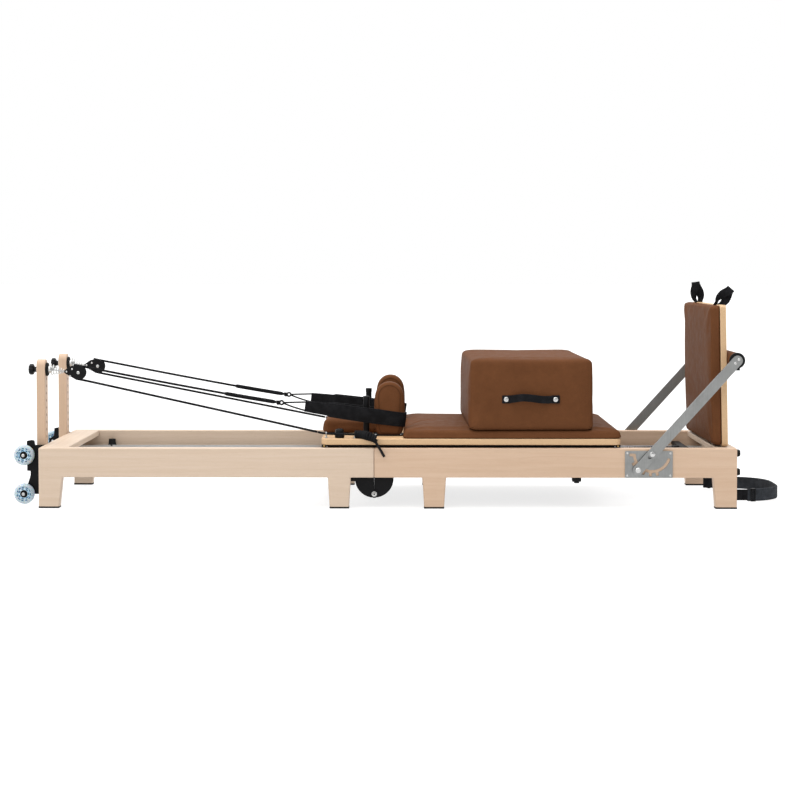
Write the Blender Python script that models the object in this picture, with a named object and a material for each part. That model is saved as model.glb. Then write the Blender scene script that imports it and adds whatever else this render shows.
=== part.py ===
"""Folding pilates reformer: a maple frame in two hinged halves, with a sprung carriage.

World frame: metres, +Z up, +X from the head end (pulleys) to the foot end (footbar), and -Y on
the near side. The origin is on the floor, under the middle of the machine.
"""

from math import asin, cos, pi, radians, sin

import bmesh
import bpy
from mathutils import Matrix, Vector

SIDES = {"near": -1, "far": 1}
GAP = 0.0003                                  # air between solids that touch

# Frame
HEAD_END, SEAM, FOOT_END = -1.236, -0.0987, 1.128
HALF_WIDTH, RAIL_THICK = 0.330, 0.035
RAIL_BOTTOM, RAIL_TOP = 0.105, 0.205
RAIL_INSIDE = HALF_WIDTH - RAIL_THICK
BOARD_THICK = 0.020
HEAD_PLANK, FOOT_PLANK = 0.095, 0.068         # widths of the planks across the two ends
HEAD_LEGS = (                                 # left and right at the rail, then at the floor
    (HEAD_END, HEAD_END + 0.080, HEAD_END, HEAD_END + 0.068),
    (-0.2555, -0.178, -0.249, -0.184),
)
FOOT_LEGS = (
    (0.065, 0.145, 0.071, 0.138),
    (FOOT_END - 0.080, FOOT_END, FOOT_END - 0.071, FOOT_END),
)
FOLD_Z = 0.045                                # height of the fold's pivots
HINGE_RADIUS, HINGE_CENTRE_Z, HINGE_TOP = 0.066, 0.098, 0.190
HINGE_THICK, HINGE_LUG, HINGE_BOLT = 0.0037, 0.014, 0.005
TRACK_TOP, TRACK_INSIDE = 0.148, 0.262        # height and inner edge of the wheels' ledge
CROSS_BAR_X = -0.330

# Head end
RISER_Y, RISER_WIDTH, RISER_THICK, RISER_TOP = 0.188, 0.048, 0.030, 0.498
KNOB_Z, KNOB_RADIUS, KNOB_THICK = 0.463, 0.019, 0.017
TRANSPORT_RADIUS, TRANSPORT_WIDTH = 0.0355, 0.024
TRANSPORT_X, TRANSPORT_Y = -1.302, 0.250
TRANSPORT_HEIGHTS = {"upper": 0.172, "lower": 0.039}
AXLE, AXLE_BORE = 0.0040, 0.0045
SHEAVE_X, SHEAVE_Z, SHEAVE_RADIUS, SHEAVE_HALF = -1.124, 0.452, 0.0262, 0.005
BLOCK_EYE = (-1.164, 0.455)                   # where the pulley block hangs from its rod
BLOCK_HALF, BLOCK_SLOT_HALF = 0.011, 0.006

# Carriage
CARRIAGE_LOW, CARRIAGE_HIGH, CARRIAGE_HALF = -0.278, 0.738, 0.320
BOARD_BOTTOM, BOARD_TOP, PAD_TOP = 0.215, 0.236, 0.265
SUBFRAME_BOTTOM, SUBFRAME_HALF = 0.2085, 0.300
CARRIAGE_WHEEL_X = {"head": -0.20, "foot": 0.64}
CARRIAGE_WHEEL_RADIUS, CARRIAGE_WHEEL_WIDTH, CARRIAGE_WHEEL_Y = 0.020, 0.012, 0.2725
PEG_X, REST_Y, PEG_RADIUS, PEG_TOP = -0.128, 0.190, 0.0105, 0.370
REST_X, REST_HALF_LENGTH, REST_HALF_WIDTH, REST_TOP = -0.0480, 0.0480, 0.030, 0.421
CLAMP_X, CLAMP_Y = -0.217, 0.285
SPRING_LOW, SPRING_HIGH, SPRING_Z, SPRING_RADIUS = 0.6005, 0.9995, 0.158, 0.012
SPRING_ROWS = (-0.105, -0.035, 0.035, 0.105)

# Ropes
ROPE_RADIUS, ROPE_ON_SHEAVE = 0.0033, 0.023
LOOP_KNOT = (-0.430, 0.348)                   # where a rope ends at its hand loop

# Footbar and jump board
PIVOT_X, PIVOT_Z = 0.840, 0.187
ARM_ANGLE, ARM_TO_ROLLER, ARM_TO_PIN = radians(48), 0.425, 0.0727
ARM_HALF_WIDTH, ARM_INSIDE, ARM_OUTSIDE = 0.01725, 0.3375, 0.3435
ROLLER_RADIUS, ROLLER_CAP_RADIUS = 0.0255, 0.0267
JUMP_BACK_X, JUMP_BOTTOM, JUMP_LEAN = 1.1052, 0.2067, radians(1.3)
JUMP_HALF_WIDTH, JUMP_HEIGHT, JUMP_PAD_THICK = 0.285, 0.482, 0.033
STRAP_REACH, STRAP_HALF, STRAP_LOW, STRAP_HIGH = 1.3195, 0.170, 0.006, 0.048

# Box
BOX_LOW, BOX_HIGH, BOX_HALF, BOX_TOP = 0.2205, 0.6365, 0.320, 0.506
BOX_TURN = radians(1.0)                       # it was put down a little askew

FINISHES = {                                  # colour, roughness, metallic
    "maple": ((0.66, 0.47, 0.32), 0.45, 0.0),
    "birch_ply": ((0.68, 0.46, 0.26), 0.5, 0.0),
    "black_steel": ((0.02, 0.02, 0.022), 0.4, 0.6),
    "brushed_steel": ((0.42, 0.43, 0.43), 0.35, 1.0),
    "aluminium": ((0.6, 0.6, 0.6), 0.35, 1.0),
    "black_plastic": ((0.015, 0.015, 0.017), 0.45, 0.0),
    "clear_urethane": ((0.55, 0.72, 0.78), 0.25, 0.0),
    "brown_leather": ((0.10, 0.042, 0.017), 0.5, 0.0),
    "webbing": ((0.012, 0.012, 0.015), 0.8, 0.0),
    "rope": ((0.01, 0.01, 0.012), 0.8, 0.0),
    "spring_steel": ((0.5, 0.5, 0.52), 0.3, 1.0),
}


# ---- tools ----

def material(name):
    found = bpy.data.materials.get(name)
    if found:
        return found
    colour, roughness, metallic = FINISHES[name]
    made = bpy.data.materials.new(name)
    made.use_nodes = True
    shader = made.node_tree.nodes["Principled BSDF"]
    shader.inputs["Base Color"].default_value = (*colour, 1.0)
    shader.inputs["Roughness"].default_value = roughness
    shader.inputs["Metallic"].default_value = metallic
    return made


def place(bm, name, finish, origin=(0, 0, 0), lean=0.0):
    """Make an object of a closed mesh, with its origin on the joint or line that matters."""
    bmesh.ops.recalc_face_normals(bm, faces=bm.faces)
    mesh = bpy.data.meshes.new(name)
    bm.to_mesh(mesh)
    bm.free()
    mesh.materials.append(material(finish))
    mesh.shade_smooth()
    mesh.set_sharp_from_angle(angle=radians(35))
    made = bpy.data.objects.new(name, mesh)
    made.location = origin
    made.rotation_euler = (0, lean, 0)
    bpy.context.collection.objects.link(made)
    if not lean:
        mesh.transform(Matrix.Translation(-Vector(origin)))
    return made


def combine(target, tool, operation="DIFFERENCE"):
    """Cut a hidden solid out of an object, or join it on."""
    cutter = place(tool, f"{target.name}_tool{len(target.modifiers)}", "black_steel")
    cutter.hide_render = True
    cutter.display_type = "WIRE"
    if target.rotation_euler.y:
        cutter.parent = target
    boolean = target.modifiers.new(operation.lower(), "BOOLEAN")
    boolean.operation = operation
    boolean.object = cutter


def soften(target, width, segments=2):
    bevel = target.modifiers.new("edges", "BEVEL")
    bevel.width = width
    bevel.segments = segments
    bevel.limit_method = "ANGLE"
    bevel.angle_limit = radians(40)


def point(axis, a, b, along):
    """A point from two outline coordinates and its place along the axis."""
    return {"X": (along, a, b), "Y": (a, along, b), "Z": (a, b, along)}[axis]


def prism(outline, axis, low, high, bm=None):
    """An outline pushed along an axis: (y, z) for X, (x, z) for Y and (x, y) for Z."""
    bm = bm or bmesh.new()
    low, high = sorted((low, high))
    rings = [[bm.verts.new(point(axis, a, b, end)) for a, b in outline] for end in (low, high)]
    bm.faces.new(rings[0])
    bm.faces.new(rings[1])
    for i in range(len(outline)):
        j = (i + 1) % len(outline)
        bm.faces.new((rings[0][i], rings[0][j], rings[1][j], rings[1][i]))
    return bm


def block(x, y, z, bm=None):
    """A box between three pairs of limits."""
    (x0, x1), (z0, z1) = x, z
    return prism([(x0, z0), (x1, z0), (x1, z1), (x0, z1)], "Y", y[0], y[1], bm)


def arc(centre, radius, start, end, steps):
    return [
        (centre[0] + radius * cos(start + (end - start) * i / steps),
         centre[1] + radius * sin(start + (end - start) * i / steps))
        for i in range(steps + 1)
    ]


def rounded(a0, a1, b0, b1, radius, steps=5):
    """A rectangle with round corners."""
    corners = [(a1 - radius, b1 - radius), (a0 + radius, b1 - radius),
               (a0 + radius, b0 + radius), (a1 - radius, b0 + radius)]
    outline = []
    for turn, corner in enumerate(corners):
        outline += arc(corner, radius, turn * pi / 2, (turn + 1) * pi / 2, steps)
    return outline


def stadium(start, end, radius, steps=8):
    """A bar with round ends between two centres."""
    along = Vector(end) - Vector(start)
    turn = Vector((1, 0)).angle_signed(along.normalized()) * -1
    return (arc(end, radius, turn - pi / 2, turn + pi / 2, steps)
            + arc(start, radius, turn + pi / 2, turn + 1.5 * pi, steps))


def turned(profile, axis, centre, steps=24, bm=None, ring=False):
    """Turn (radius, place along axis) points about an axis; a ring's profile closes on itself."""
    bm = bm or bmesh.new()
    rows = []
    for radius, along in profile:
        if radius == 0:
            rows.append([bm.verts.new(point(axis, centre[0], centre[1], along))] * steps)
            continue
        rows.append([
            bm.verts.new(point(axis, centre[0] + radius * cos(2 * pi * i / steps),
                               centre[1] + radius * sin(2 * pi * i / steps), along))
            for i in range(steps)
        ])
    pairs = list(zip(rows, rows[1:]))
    if ring:
        pairs.append((rows[-1], rows[0]))
    for one, two in pairs:
        for i in range(steps):
            j = (i + 1) % steps
            corners = list(dict.fromkeys((one[i], one[j], two[j], two[i])))
            bm.faces.new(corners)
    return bm


def rod(radius, low, high, axis, centre, steps=16, bm=None):
    low, high = sorted((low, high))
    return turned([(0, low), (radius, low), (radius, high), (0, high)], axis, centre, steps, bm)


def offset(path, distance, closed):
    """A 2-D path moved sideways."""
    moved = []
    for i, here in enumerate(path):
        before = path[i - 1] if closed or i else here
        after = path[(i + 1) % len(path)] if closed or i + 1 < len(path) else here
        along = (Vector(after) - Vector(before)).normalized()
        moved.append((here[0] - along.y * distance, here[1] + along.x * distance))
    return moved


def closed_band(path, thick, axis, low, high):
    """A band around a closed path, like a hoop."""
    bm = bmesh.new()
    rows = []
    for side in (-thick / 2, thick / 2):
        for end in (low, high):
            rows.append([bm.verts.new(point(axis, a, b, end)) for a, b in offset(path, side, True)])
    for one, two in ((0, 1), (1, 3), (3, 2), (2, 0)):
        for i in range(len(path)):
            j = (i + 1) % len(path)
            bm.faces.new((rows[one][i], rows[one][j], rows[two][j], rows[two][i]))
    return bm


def open_band(path, thick, axis, low, high):
    """A band along an open path."""
    outline = offset(path, thick / 2, False) + offset(path, -thick / 2, False)[::-1]
    return prism(outline, axis, low, high)


def smooth_route(route, spacing):
    """Points along a Catmull-Rom curve through a route's points."""
    knots = [Vector(p) for p in route]
    ends = [2 * knots[0] - knots[1], *knots, 2 * knots[-1] - knots[-2]]
    points = []
    for p0, p1, p2, p3 in zip(ends, ends[1:], ends[2:], ends[3:]):
        steps = max(1, round((p2 - p1).length / spacing))
        for i in range(steps):
            t = i / steps
            points.append(0.5 * (2 * p1 + (p2 - p0) * t + (2 * p0 - 5 * p1 + 4 * p2 - p3) * t ** 2
                                 + (3 * p1 - p0 - 3 * p2 + p3) * t ** 3))
    return points + [knots[-1]]


def cord(name, points, radius, finish):
    curve = bpy.data.curves.new(name, "CURVE")
    curve.dimensions = "3D"
    curve.bevel_depth = radius
    curve.bevel_resolution = 2
    curve.use_fill_caps = True
    spline = curve.splines.new("POLY")
    spline.points.add(len(points) - 1)
    for slot, place_ in zip(spline.points, points):
        slot.co = (*place_, 1.0)
    curve.materials.append(material(finish))
    bpy.context.collection.objects.link(bpy.data.objects.new(name, curve))


# ---- the frame's two halves ----

def rail(name, side, low, high, legs):
    """A side rail and its two legs, sawn from one board."""
    outline = [(low, RAIL_TOP), (high, RAIL_TOP)]
    if legs[-1][1] < high:
        outline.append((high, RAIL_BOTTOM))
    for left, right, foot_left, foot_right in reversed(legs):
        if right < high:
            outline.append((right, RAIL_BOTTOM))
        outline += [(foot_right, 0), (foot_left, 0)]
        if left > low:
            outline.append((left, RAIL_BOTTOM))
    if legs[0][0] > low:
        outline.append((low, RAIL_BOTTOM))
    made = place(prism(outline, "Y", side * RAIL_INSIDE, side * HALF_WIDTH), name, "maple")
    soften(made, 0.002, 1)


def end_board(name, end, inward, plank):
    """A board across an end, with a plank over it that is flush with the rails."""
    board = end + inward * BOARD_THICK
    reach = end + inward * plank
    under = RAIL_TOP - BOARD_THICK
    outline = [(end, RAIL_BOTTOM), (board, RAIL_BOTTOM), (board, under), (reach, under),
               (reach, RAIL_TOP), (end, RAIL_TOP)]
    half = RAIL_INSIDE - GAP
    soften(place(prism(outline, "Y", -half, half), name, "maple"), 0.0015, 1)


def track(name, side, low, high):
    """An aluminium ledge along a rail, with a lip that keeps the wheels on it."""
    outside = RAIL_INSIDE - GAP
    ledge, lip, web = TRACK_TOP - 0.008, 0.0025, 0.003
    outline = [(TRACK_INSIDE, ledge), (outside - web, ledge), (outside - web, ledge - 0.022),
               (outside, ledge - 0.022), (outside, TRACK_TOP), (TRACK_INSIDE + lip, TRACK_TOP),
               (TRACK_INSIDE + lip, TRACK_TOP + 0.005), (TRACK_INSIDE, TRACK_TOP + 0.005)]
    made = place(prism([(side * y, z) for y, z in outline], "X", low, high), name, "aluminium")
    clear = HINGE_RADIUS + 0.006
    hinge_room = sorted((side * (RAIL_INSIDE - 2 * HINGE_THICK - 3 * GAP), side * (RAIL_INSIDE + 0.01)))
    combine(made, block((SEAM - clear, SEAM + clear), hinge_room, (ledge - 0.03, TRACK_TOP + 0.02)))


def hinge_plate(name, side, toward, outside, bolt):
    """One leaf of a fold hinge: a flange on the rail over a quarter disc with the pivot's lug."""
    outline = [(toward * 0.0004, HINGE_TOP), (toward * HINGE_RADIUS, HINGE_TOP)]
    quarter = arc((0, HINGE_CENTRE_Z), HINGE_RADIUS, 0, -radians(79), 8)
    lug = arc((0, FOLD_Z), HINGE_LUG, -radians(60), -radians(270), 8)
    outline += [(toward * x, z) for x, z in quarter + lug]
    outline = [(SEAM + x, z) for x, z in outline]
    inside = outside - HINGE_THICK
    made = place(prism(outline, "Y", side * inside, side * outside), name, "black_steel")
    pivot = (SEAM, FOLD_Z)
    if bolt:
        shank = rod(HINGE_BOLT, side * (inside - 0.0075), side * (outside + 0.004), "Y", pivot)
        combine(made, shank, "UNION")
    else:
        combine(made, rod(HINGE_BOLT + 0.0006, side * (inside - 0.01), side * (outside + 0.01),
                          "Y", pivot))


def frame():
    for label, side in SIDES.items():
        rail(f"head_rail_{label}", side, HEAD_END, SEAM - 0.0004, HEAD_LEGS)
        rail(f"foot_rail_{label}", side, SEAM + 0.0004, FOOT_END, FOOT_LEGS)
        track(f"head_track_{label}", side, HEAD_END + BOARD_THICK + GAP, SEAM - 0.0005)
        track(f"foot_track_{label}", side, SEAM + 0.0005, FOOT_END - BOARD_THICK - GAP)
        outer = RAIL_INSIDE - GAP
        inner = outer - HINGE_THICK - GAP
        hinge_plate(f"head_hinge_plate_{label}", side, -1, outer, True)
        hinge_plate(f"foot_hinge_plate_{label}", side, 1, inner, False)
    end_board("head_end_board", HEAD_END, 1, HEAD_PLANK)
    end_board("foot_end_board", FOOT_END, -1, FOOT_PLANK)
    half = RAIL_INSIDE - 0.0036
    bar_top = TRACK_TOP - 0.0085
    bar = block((CROSS_BAR_X, CROSS_BAR_X + 0.040), (-half, half), (RAIL_BOTTOM + 0.0005, bar_top))
    soften(place(bar, "head_cross_bar", "maple"), 0.0015, 1)
    spring_bar = block((SPRING_HIGH + 0.0005, 1.030), (GAP - RAIL_INSIDE, RAIL_INSIDE - GAP), (0.1535, 0.167))
    soften(place(spring_bar, "spring_bar", "black_steel"), 0.002, 1)


# ---- head end ----

def riser(name, side, knob):
    """An upright post outside the end board, with its knob's bolt hole."""
    out = HEAD_END - GAP
    radius = RISER_WIDTH / 2
    y = side * RISER_Y
    outline = [(y - radius, RAIL_BOTTOM), (y + radius, RAIL_BOTTOM)]
    outline += arc((y, RISER_TOP - radius), radius, 0, pi, 10)
    post = place(prism(outline, "X", out - RISER_THICK, out), name, "maple")
    soften(post, 0.0015, 1)
    combine(post, rod(0.006, out - 0.05, out + 0.02, "X", (y, KNOB_Z)))
    face = out - RISER_THICK - GAP
    shaft, bolt = 0.009, 0.005
    profile = [(0, face - 0.014 - KNOB_THICK), (KNOB_RADIUS - 0.002, face - 0.014 - KNOB_THICK),
               (KNOB_RADIUS, face - 0.012 - KNOB_THICK), (KNOB_RADIUS, face - 0.016),
               (KNOB_RADIUS - 0.002, face - 0.014), (shaft, face - 0.014), (shaft, face),
               (bolt, face), (bolt, out - 0.002), (0, out - 0.002)]
    place(turned(profile, "X", (y, KNOB_Z), 16), knob, "black_plastic", (face, y, KNOB_Z))


def pulley(block_name, sheave_name, side):
    """A teardrop block with two cheeks, and the grooved sheave that turns between them."""
    y = side * RISER_Y
    outline = (arc((SHEAVE_X, SHEAVE_Z), 0.0255, -radians(115), radians(105), 10)
               + arc(BLOCK_EYE, 0.010, radians(105), radians(245), 4))
    made = place(prism(outline, "Y", y - BLOCK_HALF, y + BLOCK_HALF), block_name, "black_steel")
    slot = block((SHEAVE_X - 0.028, SHEAVE_X + 0.06), (y - BLOCK_SLOT_HALF, y + BLOCK_SLOT_HALF),
                 (SHEAVE_Z - 0.05, SHEAVE_Z + 0.05))
    combine(made, slot)
    axle = rod(AXLE, y - BLOCK_HALF + 0.002, y + BLOCK_HALF - 0.002, "Y", (SHEAVE_X, SHEAVE_Z))
    rod(AXLE, HEAD_END + GAP, BLOCK_EYE[0], "X", (y, BLOCK_EYE[1] + 0.002), bm=axle)
    combine(made, axle, "UNION")
    half = SHEAVE_HALF
    profile = [(AXLE_BORE, -half), (SHEAVE_RADIUS, -half), (0.0225, -0.0038), (0.0188, -0.0018),
               (0.0188, 0.0018), (0.0225, 0.0038), (SHEAVE_RADIUS, half), (AXLE_BORE, half)]
    profile = [(r, y + along) for r, along in profile]
    place(turned(profile, "Y", (SHEAVE_X, SHEAVE_Z), 20, ring=True), sheave_name,
          "black_plastic", (SHEAVE_X, y, SHEAVE_Z))


def wheel_bracket(name, side):
    """A steel bracket on the back of a riser, with a stub axle for each transport wheel."""
    back = HEAD_END - 2 * GAP - RISER_THICK
    outside = TRANSPORT_Y - TRANSPORT_WIDTH / 2 - 0.003
    top, bottom = TRANSPORT_HEIGHTS["upper"], TRANSPORT_HEIGHTS["lower"]
    lug, inner = 0.014, HEAD_END - 2 * GAP
    outline = [(inner, top + 0.033), (inner - 0.031, top + 0.033), (inner - 0.034, top + 0.048),
               (inner - 0.043, top + 0.050), (inner - 0.059, top + 0.047), (inner - 0.061, top + 0.020)]
    outline += arc((TRANSPORT_X, top), lug, radians(90), radians(270), 8)
    outline += [(inner - 0.059, top - 0.022), (inner - 0.059, top - 0.056), (inner - 0.0475, top - 0.057),
                (inner - 0.0475, top - 0.0715), (inner - 0.0555, bottom + 0.0355)]
    outline += arc((TRANSPORT_X, bottom), lug, radians(90), radians(270), 8)
    outline += [(inner - 0.044, bottom - 0.012), (inner - 0.037, bottom - 0.0035), (inner, bottom - 0.0035)]
    flange = prism(outline, "Y", side * (outside - 0.006), side * outside)
    made = place(flange, name, "black_steel")
    web = sorted((side * 0.165, side * (outside - 0.003)))
    combine(made, block((back - 0.0035, back - 0.0002), web, (0.062, 0.200)), "UNION")
    stubs = bmesh.new()
    for z in TRANSPORT_HEIGHTS.values():
        profile = [(0, outside - 0.003), (AXLE, outside - 0.003),
                   (AXLE, TRANSPORT_Y + TRANSPORT_WIDTH / 2 + 0.001),
                   (0.008, TRANSPORT_Y + TRANSPORT_WIDTH / 2 + 0.001),
                   (0.008, TRANSPORT_Y + TRANSPORT_WIDTH / 2 + 0.005),
                   (0, TRANSPORT_Y + TRANSPORT_WIDTH / 2 + 0.005)]
        turned([(r, side * y) for r, y in profile], "Y", (TRANSPORT_X, z), 16, stubs)
    combine(made, stubs, "UNION")


def transport_wheel(name, side, z):
    """A soft skate wheel with rounded shoulders."""
    half, edge = TRANSPORT_WIDTH / 2, TRANSPORT_RADIUS
    profile = [(AXLE_BORE, -half), (edge - 0.009, -half), (edge - 0.002, -half * 0.6), (edge, 0),
               (edge - 0.002, half * 0.6), (edge - 0.009, half), (AXLE_BORE, half)]
    profile = [(r, side * TRANSPORT_Y + along) for r, along in profile]
    place(turned(profile, "Y", (TRANSPORT_X, z), 20, ring=True), name, "clear_urethane",
          (TRANSPORT_X, side * TRANSPORT_Y, z))


def head_end():
    for label, side in SIDES.items():
        riser(f"riser_{label}", side, f"riser_knob_{label}")
        pulley(f"pulley_block_{label}", f"pulley_sheave_{label}", side)
        wheel_bracket(f"wheel_bracket_{label}", side)
        for height, z in TRANSPORT_HEIGHTS.items():
            transport_wheel(f"transport_wheel_{height}_{label}", side, z)


# ---- foot end ----

def slot_outline():
    """The curved slot under the footbar's pivot, with the notches that lock the bar."""
    middle, half, reach = 0.060, 0.005, 0.0765
    start, end = radians(180), radians(345)
    outline = arc((0, 0), middle - half, end, start, 10)
    for notch in (183, 209, 228, 246, 266, 285):
        centre = radians(notch)
        near = asin(half / (middle + half))
        far = asin(half / reach)
        for radius, angle in ((middle + half, centre - near), (reach, centre - far),
                              (reach, centre + far), (middle + half, centre + near)):
            outline.append((radius * cos(angle), radius * sin(angle)))
    outline += arc((0, 0), middle + half, radians(300), end, 4)
    return [(PIVOT_X + x, PIVOT_Z + z) for x, z in outline]


def footbar_plate(name, side):
    """The steel plate on the rail's outer face, with the pivot stud and the curved slot."""
    inside = HALF_WIDTH + GAP
    outside = inside + 0.003
    outline = rounded(0.749, 0.910, 0.1055, 0.197, 0.003, 2)
    made = place(prism(outline, "Y", side * inside, side * outside), name, "brushed_steel")
    combine(made, prism(slot_outline(), "Y", side * (inside - 0.01), side * (outside + 0.01)))
    stud = [(0, outside - 0.0015), (0.006, outside - 0.0015), (0.006, ARM_OUTSIDE + 0.0005),
            (0.0115, ARM_OUTSIDE + 0.0005), (0.0115, 0.3465), (0.010, 0.3475), (0, 0.3475)]
    combine(made, turned([(r, side * y) for r, y in stud], "Y", (PIVOT_X, PIVOT_Z), 16), "UNION")


def along_arm(distance):
    return (PIVOT_X + distance * cos(ARM_ANGLE), PIVOT_Z + distance * sin(ARM_ANGLE))


def footbar_arm(name, side):
    bar = stadium(along_arm(-ARM_TO_PIN), along_arm(ARM_TO_ROLLER), ARM_HALF_WIDTH, 10)
    made = place(prism(bar, "Y", side * ARM_INSIDE, side * ARM_OUTSIDE), name, "brushed_steel",
                 (PIVOT_X, side * ARM_INSIDE, PIVOT_Z))
    through = (side * (ARM_INSIDE - 0.01), side * (ARM_OUTSIDE + 0.01))
    combine(made, prism(stadium(along_arm(-0.013), along_arm(0), 0.0066), "Y", *through))
    marks = prism(stadium(along_arm(0.028), along_arm(0.036), 0.0017, 4), "Y", *through)
    prism(stadium(along_arm(0.048), along_arm(0.056), 0.0017, 4), "Y", *through, bm=marks)
    combine(made, marks)


def footbar():
    for label, side in SIDES.items():
        footbar_plate(f"footbar_plate_{label}", side)
        footbar_arm(f"footbar_arm_{label}", side)
    end = ARM_INSIDE - GAP
    grip = end - 0.010
    profile = [(0, -end), (ROLLER_CAP_RADIUS, -end), (ROLLER_CAP_RADIUS, -grip),
               (ROLLER_RADIUS, -grip), (ROLLER_RADIUS, grip), (ROLLER_CAP_RADIUS, grip),
               (ROLLER_CAP_RADIUS, end), (0, end)]
    x, z = along_arm(ARM_TO_ROLLER)
    place(turned(profile, "Y", (x, z), 24), "footbar_roller", "brown_leather", (x, 0, z))


def pull_loop(lean):
    """The centre line of a webbing loop: two legs and a round top, leaning about its foot."""
    path = [(0.006, -0.012)] + arc((0, 0.054), 0.017, -radians(22), radians(202), 10) + [(-0.006, -0.012)]
    turned_path = []
    for x, z in path:
        if z > 0:
            x, z = x * cos(lean) + z * sin(lean), z * cos(lean) - x * sin(lean)
        turned_path.append((x, z))
    return turned_path


def jump_board():
    """A padded board that stands on the foot plank and leans a little towards the carriage."""
    foot = (JUMP_BACK_X, 0, JUMP_BOTTOM)
    half = JUMP_HALF_WIDTH
    outline = rounded(-half, half, 0, JUMP_HEIGHT, 0.030, 5)
    panel = place(prism(outline, "X", -BOARD_THICK, 0), "jump_board_panel", "birch_ply", foot, -JUMP_LEAN)
    for label, side in SIDES.items():
        lean = radians(40) if label == "near" else radians(-8)
        path = [(x - BOARD_THICK / 2, z + JUMP_HEIGHT) for x, z in pull_loop(lean)]
        y = side * 0.197
        combine(panel, open_band(path, 0.003, "Y", y - 0.0125, y + 0.0125), "UNION")
    front = -BOARD_THICK - GAP
    outline = rounded(0.004 - half, half - 0.004, 0.004, JUMP_HEIGHT - 0.002, 0.028, 4)
    pad = place(prism(outline, "X", front - JUMP_PAD_THICK, front), "jump_board_pad", "brown_leather",
                foot, -JUMP_LEAN)
    soften(pad, 0.007, 1)


def foot_strap():
    """A webbing loop for the feet, held by two posts under the end board."""
    post_x = FOOT_END - BOARD_THICK / 2
    corner = 0.125
    quarter = arc((STRAP_REACH - 0.002 - corner, STRAP_HALF - corner), corner, pi / 2, 0, 8)
    half_path = [(post_x, STRAP_HALF), ((post_x + STRAP_REACH - corner) / 2, STRAP_HALF)] + quarter
    path = half_path + [(x, -y) for x, y in reversed(half_path)]
    made = place(open_band(path, 0.004, "Z", STRAP_LOW, STRAP_HIGH), "foot_strap", "webbing")
    posts = bmesh.new()
    for side in SIDES.values():
        rod(0.006, STRAP_LOW - 0.001, RAIL_BOTTOM - GAP, "Z", (post_x, side * STRAP_HALF), 12, posts)
    combine(made, posts, "UNION")


# ---- carriage ----

def carriage_frame():
    """The steel plate under the board: wheel lugs and axles, the springs' lug and the pegs."""
    outline = rounded(CARRIAGE_LOW + 0.016, CARRIAGE_HIGH - 0.016, -SUBFRAME_HALF, SUBFRAME_HALF, 0.015, 3)
    top = BOARD_BOTTOM - GAP
    made = place(prism(outline, "Z", SUBFRAME_BOTTOM, top), "carriage_frame", "black_steel")
    wheel_z = TRACK_TOP + GAP + CARRIAGE_WHEEL_RADIUS
    lugs = block((SPRING_LOW - 0.012, SPRING_LOW - GAP), (-0.13, 0.13), (0.150, top - 0.002))
    axles = bmesh.new()
    for side in SIDES.values():
        rod(PEG_RADIUS, SUBFRAME_BOTTOM + 0.002, PEG_TOP, "Z", (PEG_X, side * REST_Y), 12, lugs)
        for x in CARRIAGE_WHEEL_X.values():
            block((x - 0.012, x + 0.012), (side * 0.2525, side * 0.2585),
                  (wheel_z - 0.010, top - 0.002), lugs)
            rod(AXLE, side * 0.255, side * 0.2835, "Y", (x, wheel_z), 12, axles)
    combine(made, lugs, "UNION")
    combine(made, axles, "UNION")


def carriage_wheel(name, x, side):
    z = TRACK_TOP + GAP + CARRIAGE_WHEEL_RADIUS
    y, half, radius = side * CARRIAGE_WHEEL_Y, CARRIAGE_WHEEL_WIDTH / 2, CARRIAGE_WHEEL_RADIUS
    profile = [(AXLE_BORE, y - half), (radius - 0.0015, y - half), (radius, y - half + 0.0015),
               (radius, y + half - 0.0015), (radius - 0.0015, y + half), (AXLE_BORE, y + half)]
    place(turned(profile, "Y", (x, z), 16, ring=True), name, "black_plastic", (x, y, z))


def shoulder_rest(name, side):
    """A padded block with a round top and a narrower foot."""
    low, wide, foot = BOARD_TOP + GAP, REST_HALF_LENGTH, REST_HALF_LENGTH - 0.0155
    outline = [(REST_X - foot, low), (REST_X - wide, low + 0.030)]
    outline += arc((REST_X, REST_TOP - wide), wide, pi, 0, 10)
    outline += [(REST_X + wide, low + 0.030), (REST_X + foot, low)]
    y = side * REST_Y
    made = place(prism(outline, "Y", y - REST_HALF_WIDTH, y + REST_HALF_WIDTH), name, "brown_leather")
    soften(made, 0.009, 2)


def hand_loop(name, side):
    """A webbing loop around the peg and the shoulder rest, sloping up to its rope."""
    y, tip = side * REST_Y, -0.337
    half_path = arc((tip, 0), 0.006, pi, pi / 2, 3)
    half_path += [(-0.25, 0.018), (-0.14, 0.033)]
    half_path += arc((-0.0150, 0.0145), 0.022, pi / 2, 0, 5)
    path = half_path[1:] + [(x, -across) for x, across in reversed(half_path)]
    path = [(x, y + across) for x, across in path]
    bm = closed_band(path, 0.006, "Z", -0.5, 0.5)
    for vertex in bm.verts:
        height = min(0.048, 0.034 + 0.13 * (vertex.co.x - tip))
        vertex.co.z = vertex.co.z * height + 0.2915 - 0.130 * vertex.co.x
    place(bm, name, "webbing")


def clamp_knob(name, side):
    """The knob that pinches the rope, on a narrower neck."""
    low = BOARD_TOP + GAP
    profile = [(0, low), (0.0145, low), (0.0145, low + 0.004), (0.0115, low + 0.006),
               (0.0115, 0.2555), (0.0165, 0.2565), (0.0165, 0.266), (0.0150, 0.268), (0, 0.268)]
    centre = (CLAMP_X, side * CLAMP_Y)
    place(turned(profile, "Z", centre, 16), name, "black_plastic", (*centre, low))


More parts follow.
